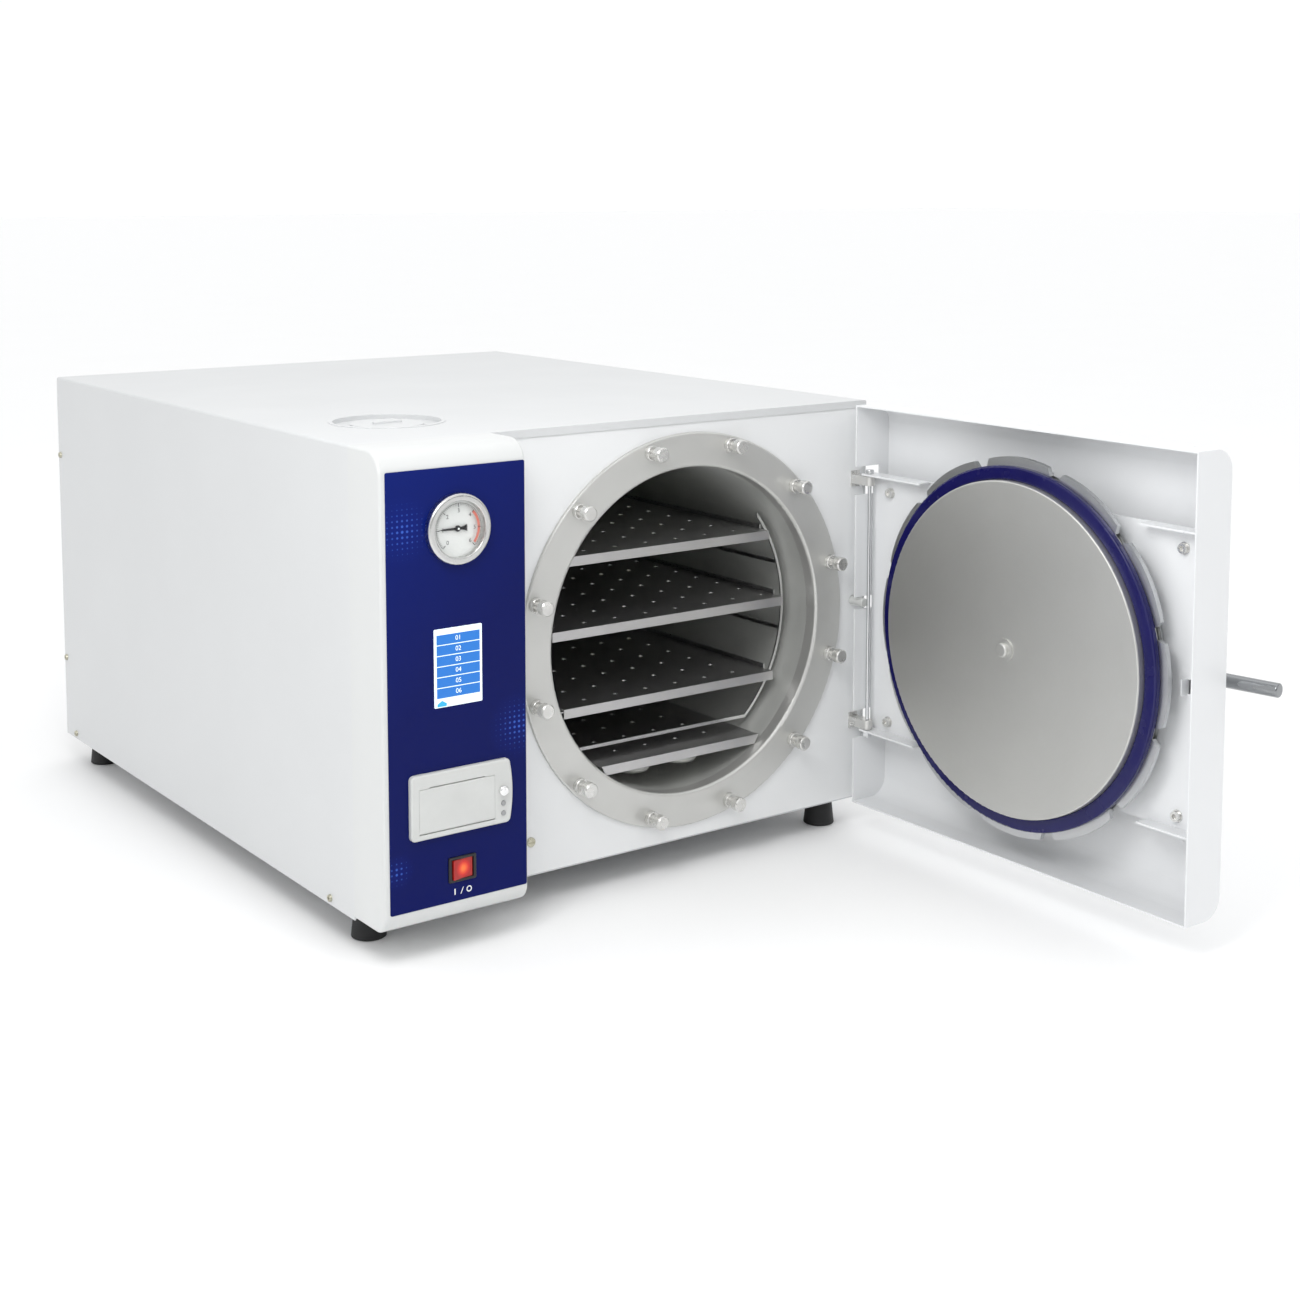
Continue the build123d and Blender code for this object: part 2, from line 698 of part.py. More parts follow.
CHAMBER_AXIS = Axis(at(AXIS[0], 0, AXIS[1]), (0, 1, 0))


def make_chamber_shell():
    back = CHAMBER_DEPTH
    with BuildPart() as chamber_shell:
        with BuildSketch(side(AXIS[0])):
            add(vessel_profile(BORE + CHAMBER_WALL, FLANGE_BACK, back + CHAMBER_END, 12))
        revolve(axis=CHAMBER_AXIS)
        with BuildSketch(side(AXIS[0])):
            add(vessel_profile(BORE, FLANGE_BACK - 1, back, 9))
        revolve(axis=CHAMBER_AXIS, mode=Mode.SUBTRACT)
        for x in [leg for pair in HEATER_LEGS for leg in pair]:
            post(x, HEATER_HEIGHT, (back - 5, back + 10), 4, Mode.SUBTRACT)
        post(*PROBE, (back - 5, back + 10), 3, Mode.SUBTRACT)
        for port in (STEAM_PORT, DRAIN_PORT):
            post(*port, (back - 5, back + 10), 6, Mode.SUBTRACT)
    save(chamber_shell, "chamber_shell")


def make_insulation_jacket():
    inner = BORE + CHAMBER_WALL + JACKET_GAP
    with BuildPart() as insulation_jacket:
        post(*AXIS, (16, 630), inner + JACKET)
        post(*AXIS, (15, 631), inner, Mode.SUBTRACT)
    save(insulation_jacket, "insulation_jacket")


def make_support_frames():
    """Two cradles under the chamber and a sheet shelf under the water tank."""
    jacket = BORE + CHAMBER_WALL + JACKET_GAP + JACKET
    x, z = AXIS
    with BuildPart() as support_frames:
        for y in (110, 520):
            block((x - 150, x + 150), (y, y + 3), (PAN_SHEET, 120))
            block((x - 150, x + 150), (y, y + 30), (PAN_SHEET, PAN_SHEET + 3))
            post(x, z, (y - 1, y + 4), jacket + 0.3, Mode.SUBTRACT)
        block((4, 180), (70, 350), (TANK_Z[0] - 2, TANK_Z[0]))
        for y in (70, 348):
            block((4, 180), (y, y + 2), (PAN_SHEET, TANK_Z[0]))
    save(support_frames, "support_frames")


def make_heater_elements():
    """Two hairpin immersion elements under the baffle, with threaded ends outside."""
    turn_y = 60.0
    end = CHAMBER_DEPTH + CHAMBER_END + 22
    with BuildPart() as heater_elements:
        for near, far in HEATER_LEGS:
            radius = (far - near) / 2
            with BuildLine():
                Polyline(at(near, end, HEATER_HEIGHT), at(near, turn_y, HEATER_HEIGHT))
                ThreePointArc(
                    at(near, turn_y, HEATER_HEIGHT),
                    at(near + radius, turn_y - radius, HEATER_HEIGHT),
                    at(far, turn_y, HEATER_HEIGHT),
                )
                Line(at(far, turn_y, HEATER_HEIGHT), at(far, end, HEATER_HEIGHT))
            with BuildSketch(facing(end)):
                with Locations((near, HEATER_HEIGHT)):
                    Circle(3.95)
            sweep()
            for x in (near, far):
                with BuildSketch(facing(CHAMBER_DEPTH + CHAMBER_END + 7)):
                    with Locations((x, HEATER_HEIGHT)):
                        RegularPolygon(7.5, 6)
                extrude(amount=7)
    save(heater_elements, "heater_elements")


def perforate(z, half_width, y, pitch=40.0, radius=2.5):
    """Square rows of round holes through a plate that lies at height z."""
    across = 2 * int((half_width + 6) / pitch)
    along = int((y[1] - y[0]) / pitch)
    with BuildSketch(level(z)) as holes:
        with Locations((AXIS[0], (y[0] + y[1]) / 2)):
            with GridLocations(pitch, pitch, across, along):
                Circle(radius)
    extrude(holes.sketch, amount=-5, mode=Mode.SUBTRACT)


def make_baffle_plate():
    """The perforated cover over the heaters, with a bright down-turned front."""
    half = 105.0
    y = (10.0, 600.0)
    x = AXIS[0]
    with BuildPart() as baffle_plate:
        block((x - half, x + half), y, (BAFFLE_TOP - TRAY_SHEET, BAFFLE_TOP))
        with BuildSketch(facing(y[0] + TRAY_SHEET)):
            with Locations((x, BAFFLE_TOP)):
                with BuildLine():
                    Polyline(
                        (x - half, BAFFLE_TOP),
                        (x + half, BAFFLE_TOP),
                        (x + half - 5, BAFFLE_TOP - TRAY_LIP),
                        (x - half + 5, BAFFLE_TOP - TRAY_LIP),
                        (x - half, BAFFLE_TOP),
                    )
                make_face()
        extrude(amount=TRAY_SHEET)
        reach = half - 12
        foot = AXIS[1] - sqrt(BORE**2 - reach**2) + 0.4
        for edge in (x - reach, x + reach - TRAY_SHEET):
            block((edge, edge + TRAY_SHEET), (60, 600), (foot, BAFFLE_TOP))
        perforate(BAFFLE_TOP + 1, half, (30, 590))
    save(baffle_plate, "baffle_plate")


def arc_half(radius, height):
    """Half the width of the round chamber at a height above the cabinet's foot."""
    return sqrt(radius**2 - (height - AXIS[1]) ** 2)


def make_tray_rack():
    """Two open-topped hoops joined by angle rails, one pair to each tray."""
    x, z = AXIS
    with BuildPart() as tray_rack:
        for y in (RACK_FRONT, RACK_BACK - 2):
            post(x, z, (y, y + 2), RACK_RADIUS)
            post(x, z, (y - 1, y + 3), RACK_INNER, Mode.SUBTRACT)
            block((x - 130, x + 130), (y - 1, y + 3), (330, 460), Mode.SUBTRACT)
            block((x - 200, x + 200), (y - 1, y + 3), (0, 104), Mode.SUBTRACT)
            block((x - 112, x + 112), (y, y + 2), (104, 107.5))
        for height, half in TRAYS.values():
            foot = height - TRAY_SHEET - TRAY_SIDE_LIP - 0.2
            for sign in (-1, 1):
                outer = max(half + 1.9, arc_half(RACK_INNER, foot) + 2)
                inner = sorted((x + sign * (half - 14), x + sign * outer))
                wall = sorted((x + sign * (half + 0.7), x + sign * (half + 1.9)))
                block(inner, (RACK_FRONT, RACK_BACK), (foot - 1.2, foot))
                block(wall, (RACK_FRONT, RACK_BACK), (foot - 1.2, foot + 12))
        for sign in (-1, 1):
            for height in (200.0, 276.0):
                reach = arc_half(RACK_INNER, height)
                bar = sorted((x + sign * reach, x + sign * (reach + 3)))
                block(bar, (RACK_FRONT, RACK_BACK), (height - 2, height + 2))
    save(tray_rack, "tray_rack")


def make_trays():
    x = AXIS[0]
    for name, (height, half) in TRAYS.items():
        with BuildPart() as tray:
            block(
                (x - half, x + half), (TRAY_FRONT, TRAY_BACK), (height - TRAY_SHEET, height)
            )
            for y, lip in ((TRAY_FRONT, TRAY_LIP), (TRAY_BACK - TRAY_SHEET, TRAY_SIDE_LIP)):
                block((x - half, x + half), (y, y + TRAY_SHEET), (height - lip, height))
            for edge in (x - half, x + half - TRAY_SHEET):
                block(
                    (edge, edge + TRAY_SHEET),
                    (RACK_FRONT - 8, TRAY_BACK),
                    (height - TRAY_SHEET - TRAY_SIDE_LIP, height),
                )
            perforate(height + 1, half, (30, 590))
        save(tray, name)


def make_temperature_probe():
    with BuildPart() as temperature_probe:
        post(*PROBE, (560, CHAMBER_DEPTH + CHAMBER_END + 24), 3)
        with BuildSketch(facing(CHAMBER_DEPTH + CHAMBER_END + 9)):
            with Locations(PROBE):
                RegularPolygon(8, 6)
        extrude(amount=9)
        post(*PROBE, (CHAMBER_DEPTH + CHAMBER_END + 9, CHAMBER_DEPTH + CHAMBER_END + 20), 5)
    save(temperature_probe, "temperature_probe")


# ---------------------------------------------------------------- plumbing
VALVE_ROW = [(300.0, 712.0), (345.0, 712.0), (390.0, 712.0)]
VALVE_FOOT = 30.0


def make_solenoid_valves():
    """Fill, exhaust and vent valves on one manifold block behind the chamber."""
    with BuildPart() as solenoid_valves:
        block((278, 436), (698, 726), (VALVE_FOOT, VALVE_FOOT + 26))
        for x, y in VALVE_ROW:
            pillar(x, y, (VALVE_FOOT + 26, VALVE_FOOT + 32), 9)
            block((x - 15, x + 15), (y - 17, y + 17), (VALVE_FOOT + 32, VALVE_FOOT + 66))
            pillar(x, y, (VALVE_FOOT + 66, VALVE_FOOT + 70), 6)
    save(solenoid_valves, "solenoid_valves")


def pipe(points, radius, bend):
    """A bent tube's solid bar through a route given in cabinet coordinates."""
    route = [at(*point) for point in points]
    start = Vector(*route[0])
    heading = Vector(*route[1]) - start
    with BuildLine() as centre_line:
        FilletPolyline(*route, radius=bend)
    with BuildSketch(Plane(origin=start, z_dir=heading)) as section:
        Circle(radius)
    sweep(section.sketch, path=centre_line.line)


def make_steam_pipes():
    """Rigid copper lines: steam port and drain port to the valve manifold."""
    wall = CHAMBER_DEPTH + CHAMBER_END
    with BuildPart() as steam_pipes:
        pipe([(400, wall - 3, 372), (400, 690, 372), (460, 690, 372), (460, 690, 60), (460, 712, 43), (436.2, 712, 43)], 4, 8)
        pipe([(400, wall - 3, 80), (400, 682, 80), (400, 682, 43), (400, 697.8, 43)], 4, 7)
        for port in (STEAM_PORT, DRAIN_PORT):
            with BuildSketch(facing(wall + 8)):
                with Locations(port):
                    RegularPolygon(9, 6)
            extrude(amount=8)
    save(steam_pipes, "steam_pipes")


def make_hose_spigots():
    """Hose tails with lock nuts on the rear panel: exhaust steam and tank drain."""
    outside = REAR_FACE + SHEET
    inside = {EXHAUST: 736.0, TANK_DRAIN: REAR_FACE - 22}
    tail = {EXHAUST: 6.0, TANK_DRAIN: 5.0}
    with BuildPart() as hose_spigots:
        for centre, start in inside.items():
            post(*centre, (start, outside + 4), 8)
            post(*centre, (outside + 4, outside + 26), tail[centre])
            with BuildSketch(facing(outside + 4)):
                with Locations(centre):
                    RegularPolygon(11, 6)
            extrude(amount=4)
            post(*centre, (start - 6, outside + 30), tail[centre] - 2.5, Mode.SUBTRACT)
    save(hose_spigots, "hose_spigots")


def make_safety_valve():
    """The spring-loaded relief valve on top of the chamber's rear end."""
    x, y = 400.0, 640.0
    foot = AXIS[1] + BORE + CHAMBER_WALL
    with BuildPart() as safety_valve:
        pillar(x, y, (foot + 0.05, foot + 10), 7)
        pillar(x, y, (foot + 10, foot + 34), 9)
        with BuildSketch(level(foot + 4)):
            with Locations((x, y)):
                RegularPolygon(11, 6)
        extrude(amount=8)
        post(x, foot + 22, (y, y + 40), 5)
    save(safety_valve, "safety_valve")


TANK_X = (14.0, 176.0)
TANK_Y = (60.0, 400.0)
TANK_Z = (170.0, 425.0)


def make_water_tank():
    x, y = FILLER
    with BuildPart() as water_tank:
        block(TANK_X, TANK_Y, TANK_Z)
        uprights = water_tank.edges().filter_by(Axis.Z)
        fillet(uprights, radius=12)
        pillar(x, y, (TANK_Z[1], HEIGHT - 10.2), 34)
        block(
            (TANK_X[0] + 3, TANK_X[1] - 3),
            (TANK_Y[0] + 3, TANK_Y[1] - 3),
            (TANK_Z[0] + 3, TANK_Z[1] - 3),
            Mode.SUBTRACT,
        )
        pillar(x, y, (TANK_Z[1] - 5, HEIGHT), 31, Mode.SUBTRACT)
        pillar(95, 380, (TANK_Z[0] - 12, TANK_Z[0] + 1), 7)
    save(water_tank, "water_tank")


def make_tank_hose():
    """The rigid drain line under the tank, out to its spigot at the back."""
    with BuildPart() as tank_hose:
        pipe([(95, 380, TANK_Z[0] - 12.2), (95, 380, 60), (70, 420, 40), (70, REAR_FACE - 22.2, 40)], 5, 16)
    save(tank_hose, "tank_hose")


def make_filler_dish():
    """The shallow dish in the cover that surrounds the filling hole."""
    x, y = FILLER
    with BuildPart() as filler_dish:
        pillar(x, y, (HEIGHT, HEIGHT + 0.8), FILLER_RADIUS)
        pillar(x, y, (HEIGHT - 5.5, HEIGHT), FILLER_RADIUS - 3)
        pillar(x, y, (HEIGHT - 4, HEIGHT + 5), FILLER_RADIUS - 4.5, Mode.SUBTRACT)
        pillar(x, y, (HEIGHT - 20, HEIGHT + 5), 31, Mode.SUBTRACT)
        lip = filler_dish.edges().filter_by(GeomType.CIRCLE).group_by(Axis.Z)[-1]
        fillet(lip, radius=0.35)
    save(filler_dish, "filler_dish")


def make_filler_lid():
    """A lift-off plug with a low finger ridge."""
    x, y = FILLER
    with BuildPart() as filler_lid:
        pillar(x, y, (HEIGHT - 3.8, HEIGHT - 1.8), 38)
        pillar(x, y, (HEIGHT - 18, HEIGHT - 3.8), 30.5)
        pillar(x, y, (HEIGHT - 20, HEIGHT - 6), 27, Mode.SUBTRACT)
        block((x - 16, x + 16), (y - 2.5, y + 2.5), (HEIGHT - 1.8, HEIGHT + 0.6))
        ridge = filler_lid.faces().sort_by(Axis.Z)[-1]
        fillet(ridge.edges(), radius=1.0)
    save(filler_lid, "filler_lid")


# ---------------------------------------------------------------- electrics
def make_power_supply():
    """The transformer and relay block on the base pan, left of the chamber."""
    with BuildPart() as power_supply:
        block((20, 110), (90, 190), (PAN_SHEET, 90))
        block((30, 100), (80, 200), (14, 78))
        block((20, 120), (220, 320), (PAN_SHEET, 26))
        for n in range(9):
            fin = 226 + 10 * n
            block((24, 116), (fin, fin + 3), (26, 50))
    save(power_supply, "power_supply")


def make_fan_frame():
    x, z = FAN
    half = FAN_SIZE / 2
    y = (REAR_FACE - 25.5, REAR_FACE - 0.2)
    with BuildPart() as fan_frame:
        block((x - half, x + half), y, (z - half, z + half))
        fillet(fan_frame.edges().filter_by(Axis.Y), radius=5)
        post(x, z, (y[0] - 1, y[1] + 1), 43, Mode.SUBTRACT)
        post(x, z, (y[1] - 4, y[1]), 17)
        for angle in (45, 135, 225, 315):
            reach = 30.0
            middle = at(
                x + reach * cos(radians(angle)), y[1] - 2, z + reach * sin(radians(angle))
            )
            with Locations(Location(middle, (0, -angle, 0))):
                Box(30, 4, 4)
        post(x, z, (y[0] + 6, y[1] - 4), 2)
        for dx in (-41, 41):
            for dz in (-41, 41):
                post(x + dx, z + dz, (y[0] - 1, y[1] + 1), 2.2, Mode.SUBTRACT)
    save(fan_frame, "fan_frame")


def make_fan_rotor():
    """Hub and seven blades, each a slanted plate."""
    x, z = FAN
    y = (REAR_FACE - 22, REAR_FACE - 6)
    with BuildPart() as fan_rotor:
        for blade in range(7):
            angle = 360 / 7 * blade
            reach = 27.0
            middle = at(
                x + reach * cos(radians(angle)), sum(y) / 2, z + reach * sin(radians(angle))
            )
            with Locations(Location(middle, (0, -angle, 0)) * Location((0, 0, 0), (35, 0, 0))):
                Box(28, 1.2, 19)
        post(x, z, y, 17)
        post(x, z, (y[0] + 1, y[1] + 1), 2 + RUNNING, Mode.SUBTRACT)
    save(fan_rotor, "fan_rotor")


def make_mains_inlet():
    """The appliance inlet socket, recessed, with three flat pins."""
    x, z = INLET
    outside = REAR_FACE + SHEET
    with BuildPart() as mains_inlet:
        block((x - 20, x + 20), (outside, outside + 2.5), (z - 15, z + 15))
        block((x - 15.8, x + 15.8), (REAR_FACE - 24, outside), (z - 12.3, z + 12.3))
        block((x - 12, x + 12), (REAR_FACE - 14, outside + 4), (z - 9, z + 9), Mode.SUBTRACT)
        for dx, dz in ((-7, -2), (7, -2), (0, 3)):
            block((x + dx - 1, x + dx + 1), (REAR_FACE - 15, REAR_FACE - 1), (z + dz - 2, z + dz + 2))
    save(mains_inlet, "mains_inlet")


def make_door_switch():
    """The switch body behind the front panel that the door's pin works."""
    x, z = PIN
    with BuildPart() as door_switch:
        block((x - 12, x + 12), (SHEET, 34), (z - 14, z + 14))
        post(x, z, (-2, 31), PIN_RADIUS + PIN_GAP, Mode.SUBTRACT)
    save(door_switch, "door_switch")


def make_door_switch_pin():
    x, z = PIN
    with BuildPart() as door_switch_pin:
        post(x, z, (-21, 22), PIN_RADIUS)
        tip = door_switch_pin.edges().filter_by(GeomType.CIRCLE).sort_by(Axis.Y)[0]
        fillet(tip, radius=1.2)
    save(door_switch_pin, "door_switch_pin")


# ---------------------------------------------------------------- hinge
ROD_TOP = PLATE_TOP + 5.0
ROD_FOOT = PLATE_FOOT - 7.0


def make_hinge_lugs():
    """Two steel lugs on the front panel, bored for the hinge rod."""
    x, y = HINGE
    with BuildPart() as hinge_lugs:
        for z in LUG_HEIGHTS:
            block((x - 6, x + 6), (y, 0), (z - LUG_HALF, z + LUG_HALF))
            pillar(x, y, (z - LUG_HALF, z + LUG_HALF), 6)
            block((x - 6, x + 6), (-1.5, 0), (z - 9, z + 9))
            pillar(x, y, (z - 10, z + 10), ROD_RADIUS + RUNNING, Mode.SUBTRACT)
    save(hinge_lugs, "hinge_lugs")


def make_hinge_rod():
    """The rod, which turns with the door, with its head and its lock nut."""
    x, y = HINGE
    with BuildPart() as hinge_rod:
        pillar(x, y, (ROD_FOOT, ROD_TOP), ROD_RADIUS)
        pillar(x, y, (ROD_TOP - 4.5, ROD_TOP), 4.5)
        fillet(hinge_rod.edges().filter_by(GeomType.CIRCLE).sort_by(Axis.Z)[-1], radius=1.5)
        with BuildSketch(level(PLATE_FOOT - 5.5)):
            with Locations((x, y)):
                RegularPolygon(5.4, 6)
        extrude(amount=5)
    save(hinge_rod, "hinge_rod")


# ---------------------------------------------------------------- door
def door_profile(inset):
    """The door seen from its side, rounded like the column."""
    radius = DOOR_RADIUS - inset
    face = DOOR_FACE + inset
    return rounded_profile(
        face, DOOR_RIM, DOOR_FOOT + inset, DOOR_TOP - inset, radius, radius
    )


PLATE_BOLTS = [(208.0, 98.0), (208.0, 358.0), (612.0, 98.0), (612.0, 358.0)]


def make_door_shell():
    """The white pan, with the welded pillars that carry the mounting plate."""
    wall = (DOOR_RIGHT - DOOR_SHEET - 1, DOOR_RIGHT + 1)
    with BuildPart() as door_shell:
        with BuildSketch(swung(side(DOOR_LEFT))):
            add(door_profile(0))
        extrude(amount=DOOR_RIGHT - DOOR_LEFT)
        with BuildSketch(swung(side(DOOR_LEFT + DOOR_SHEET))):
            add(door_profile(DOOR_SHEET))
        extrude(amount=DOOR_RIGHT - DOOR_LEFT - 2 * DOOR_SHEET, mode=Mode.SUBTRACT)
        for z in LUG_HEIGHTS:
            door_block(wall, (-46, 0), (z - 16, z + 16), Mode.SUBTRACT)
        door_block(wall, (-46, 0), (PIN[1] - 7, PIN[1] + 7), Mode.SUBTRACT)
        door_post(*AXIS, (DOOR_FACE - 1, DOOR_FACE + 5), 23.5, Mode.SUBTRACT)
        for x, z in PLATE_BOLTS:
            door_post(x, z, (DOOR_FACE + DOOR_SHEET, PLATE_FACE - PLATE_SHEET), 7)
            door_post(x, z, (-52, -30), 3, Mode.SUBTRACT)
    save(door_shell, "door_shell")


PLATE_LEFT = DOOR_LEFT + DOOR_SHEET + 0.5
PLATE_RIGHT = DOOR_RIGHT - DOOR_SHEET - 0.5
SLOT = (195.0, 226.0)


def make_door_plate():
    """The mounting plate across the door, with bent flanges at top and foot."""
    back = PLATE_FACE - PLATE_SHEET
    x = (PLATE_LEFT, PLATE_RIGHT)
    with BuildPart() as door_plate:
        door_block(x, (back, PLATE_FACE), (PLATE_FOOT, PLATE_TOP))
        for z in ((PLATE_FOOT, PLATE_FOOT + PLATE_SHEET), (PLATE_TOP - PLATE_SHEET, PLATE_TOP)):
            door_block(x, (back, -19), z)
        with BuildSketch(swung(side(PLATE_LEFT - 1))):
            with BuildLine():
                Polyline((-19.5, 70), (-19.5, 400), (-10, 400), (-10, 70), (-19.5, 70))
            make_face()
        extrude(amount=20, mode=Mode.SUBTRACT)
        door_post(*AXIS, (PLATE_FACE, 0), STUD_CIRCLE + STUD_HEAD + 2, Mode.SUBTRACT)
        rod_x, rod_y = HINGE
        pillar(rod_x, rod_y, (PLATE_FOOT - 5, PLATE_TOP + 5), ROD_RADIUS, Mode.SUBTRACT)
        door_post(*AXIS, (back - 1, PLATE_FACE + 1), 23.5, Mode.SUBTRACT)
        slot_x, slot_z = SLOT
        door_block((slot_x - 5, slot_x + 5), (back - 1, -30), (slot_z - 7, slot_z + 7), Mode.SUBTRACT)
        door_block((slot_x + 5, slot_x + 6.5), (PLATE_FACE, -27), (slot_z - 8, slot_z + 8))
        for bolt_x, bolt_z in PLATE_BOLTS:
            door_post(bolt_x, bolt_z, (back - 1, PLATE_FACE + 1), 3, Mode.SUBTRACT)
    save(door_plate, "door_plate")


def make_plate_bolts():
    with BuildPart() as plate_bolts:
        for x, z in PLATE_BOLTS:
            door_post(x, z, (-51, PLATE_FACE), 3)
            door_post(x, z, (PLATE_FACE, PLATE_FACE + 1.2), 6)
            door_post(x, z, (PLATE_FACE + 1.2, PLATE_FACE + 5.2), 4.8)
            with BuildSketch(swung(facing(PLATE_FACE + 2.6))):
                with Locations((x, z)):
                    RegularPolygon(2.9, 6)
            extrude(amount=-4, mode=Mode.SUBTRACT)
    save(plate_bolts, "plate_bolts")


DISC_FACE = GASKET_FACE + 7.5
DISC_BACK = -17.5
DISC_RADIUS = 183.5


def make_door_disc():
    """The pressure plate that closes the chamber."""
    with BuildPart() as door_disc:
        door_post(*AXIS, (GASKET_BACK, DISC_FACE), GASKET_INNER)
        rim = door_disc.edges().filter_by(GeomType.CIRCLE).sort_by(Axis.X)[0]
        fillet(rim, radius=1.5)
        door_post(*AXIS, (DISC_BACK, GASKET_BACK), DISC_RADIUS)
        door_post(*AXIS, (DISC_BACK - 1, DISC_FACE + 1), SPINDLE_RADIUS, Mode.SUBTRACT)
    save(door_disc, "door_disc")


def make_door_gasket():
    with BuildPart() as door_gasket:
        door_post(*AXIS, (GASKET_BACK, GASKET_FACE), GASKET_RADIUS)
        door_post(*AXIS, (GASKET_BACK - 1, GASKET_FACE + 1), GASKET_INNER, Mode.SUBTRACT)
        rims = door_gasket.edges().filter_by(GeomType.CIRCLE).sort_by(Axis.X)[:2]
        fillet(rims, radius=2.0)
    save(door_gasket, "door_gasket")


WEB = (-34.0, -30.0)
HUB_END = -66.0
NUT_POCKET = (-64.0, -50.0)
BOSS_END = -90.0


def lobe_profile(inner, outer, root_angle, tip_angle):
    """One lobe at three o'clock about the origin: a blunt wedge outside the ring."""
    root, tip = radians(root_angle), radians(tip_angle)
    corner = outer - 1.5
    root_points = [(inner * cos(root), sign * inner * sin(root)) for sign in (-1, 1)]
    tip_points = [(corner * cos(tip), sign * corner * sin(tip)) for sign in (-1, 1)]
    with BuildSketch() as profile:
        with BuildLine():
            Line(root_points[0], tip_points[0])
            ThreePointArc(tip_points[0], (outer, 0), tip_points[1])
            Polyline(tip_points[1], root_points[1], root_points[0])
        make_face()
    return profile.sketch_local


def lobe_layer(profile):
    """All twelve lobes, drawn on the plane where their flat part ends."""
    with BuildSketch(swung(facing(LOBE_FRONT - LOBE_SHEET))) as layer:
        with Locations(AXIS):
            with PolarLocations(0, STUD_COUNT):
                add(profile)
    return layer.sketch


def make_locking_ring():
    """A dished ring behind the disc: hub, web, sloping rim and twelve backed lobes."""
    x, z = AXIS
    with BuildPart() as locking_ring:
        door_post(x, z, (RIM_BACK, LOBE_FRONT), RING_RADIUS)
        with BuildSketch(swung(facing(RIM_BACK))) as outer_slope:
            with Locations(AXIS):
                Circle(RING_RADIUS)
        extrude(outer_slope.sketch, amount=RIM_BACK - WEB[0], taper=RIM_SLOPE)
        extrude(
            lobe_layer(lobe_profile(RING_RADIUS - 1.5, LOBE_RADIUS, 13.5, 12.0)),
            amount=-LOBE_SHEET,
        )
        extrude(lobe_layer(lobe_profile(170.0, 192.8, 12.6, 12.0)), amount=12, taper=24)
        door_post(x, z, (RIM_BACK, LOBE_FRONT + 1), RING_BORE, Mode.SUBTRACT)
        with BuildSketch(swung(facing(RIM_BACK))) as inner_slope:
            with Locations(AXIS):
                Circle(RING_BORE)
        extrude(
            inner_slope.sketch,
            amount=RIM_BACK - WEB[1],
            taper=RIM_SLOPE,
            mode=Mode.SUBTRACT,
        )
        with BuildSketch(swung(facing(WEB[0] - 1))):
            with Locations((x, z)):
                with PolarLocations(110, 6):
                    Circle(30)
        extrude(amount=-6, mode=Mode.SUBTRACT)
        door_post(x, z, (HUB_END, WEB[0]), HUB_RADIUS)
        door_post(x, z, (NUT_POCKET[0], WEB[1] + 1), SPINDLE_RADIUS + RUNNING, Mode.SUBTRACT)
        door_post(x, z, (HUB_END - 1, NUT_POCKET[1]), 13, Mode.SUBTRACT)
    save(locking_ring, "locking_ring")


def make_hub_bearing():
    """The flanged bronze bearing, pressed into the plate and the door's skin."""
    with BuildPart() as hub_bearing:
        door_post(*AXIS, (DOOR_FACE - 2, PLATE_FACE + 1), 23.5)
        door_post(*AXIS, (DOOR_FACE - 2, DOOR_FACE), 28)
        door_post(*AXIS, (DOOR_FACE - 5, 0), HUB_RADIUS + RUNNING, Mode.SUBTRACT)
    save(hub_bearing, "hub_bearing")


def make_centre_spindle():
    """The bolt through disc and hub: washer and cap in front, nut inside the hub."""
    with BuildPart() as centre_spindle:
        door_post(*AXIS, (NUT_POCKET[1] - 11, DISC_FACE), SPINDLE_RADIUS)
        door_post(*AXIS, (DISC_FACE, DISC_FACE + 1.6), 12)
        door_post(*AXIS, (DISC_FACE + 1.6, DISC_FACE + 6), 7.5)
        cap = centre_spindle.edges().filter_by(GeomType.CIRCLE).sort_by(Axis.X)[0]
        fillet(cap, radius=2.0)
        with BuildSketch(swung(facing(NUT_POCKET[1] - 0.3))):
            with Locations(AXIS):
                RegularPolygon(12, 6)
        extrude(amount=8)
    save(centre_spindle, "centre_spindle")


LEVER_BEND = 185.0
LEVER_RISE = 14.0


def make_lock_lever():
    """The chrome bar across the hub, bent outwards near its grip end."""
    x, z = AXIS
    y = LEVER_OFFSET
    route_points = (
        at(x + 40, y, z),
        at(x - LEVER_BEND, y, z),
        at(x - LEVER_REACH, y - LEVER_RISE, z),
    )
    with BuildPart() as lock_lever:
        with BuildLine() as route:
            FilletPolyline(*[(SWING * Location(point)).position for point in route_points], radius=90)
        with BuildSketch(Plane(origin=route.line @ 0, z_dir=route.line % 0)):
            Circle(LEVER_RADIUS)
        sweep()
        ends = lock_lever.edges().filter_by(GeomType.CIRCLE).sort_by(Axis.Y)
        fillet([ends[0], ends[-1]], radius=1.5)
    save(lock_lever, "lock_lever")


def make_lever_boss():
    """The turned collar that clamps the lever to the hub."""
    x, z = AXIS
    y = LEVER_OFFSET
    with BuildPart() as lever_boss:
        door_post(x, z, (BOSS_END, DOOR_FACE - 2.4), 27)
        rims = lever_boss.edges().filter_by(GeomType.CIRCLE).sort_by(Axis.X)[-1]
        fillet(rims, radius=2.5)
        door_post(x, z, (HUB_END, DOOR_FACE), HUB_RADIUS, Mode.SUBTRACT)
        with Locations(swung_at(x, y, z)):
            Cylinder(LEVER_RADIUS, 80, rotation=(0, 90, 0), mode=Mode.SUBTRACT)
    save(lever_boss, "lever_boss")


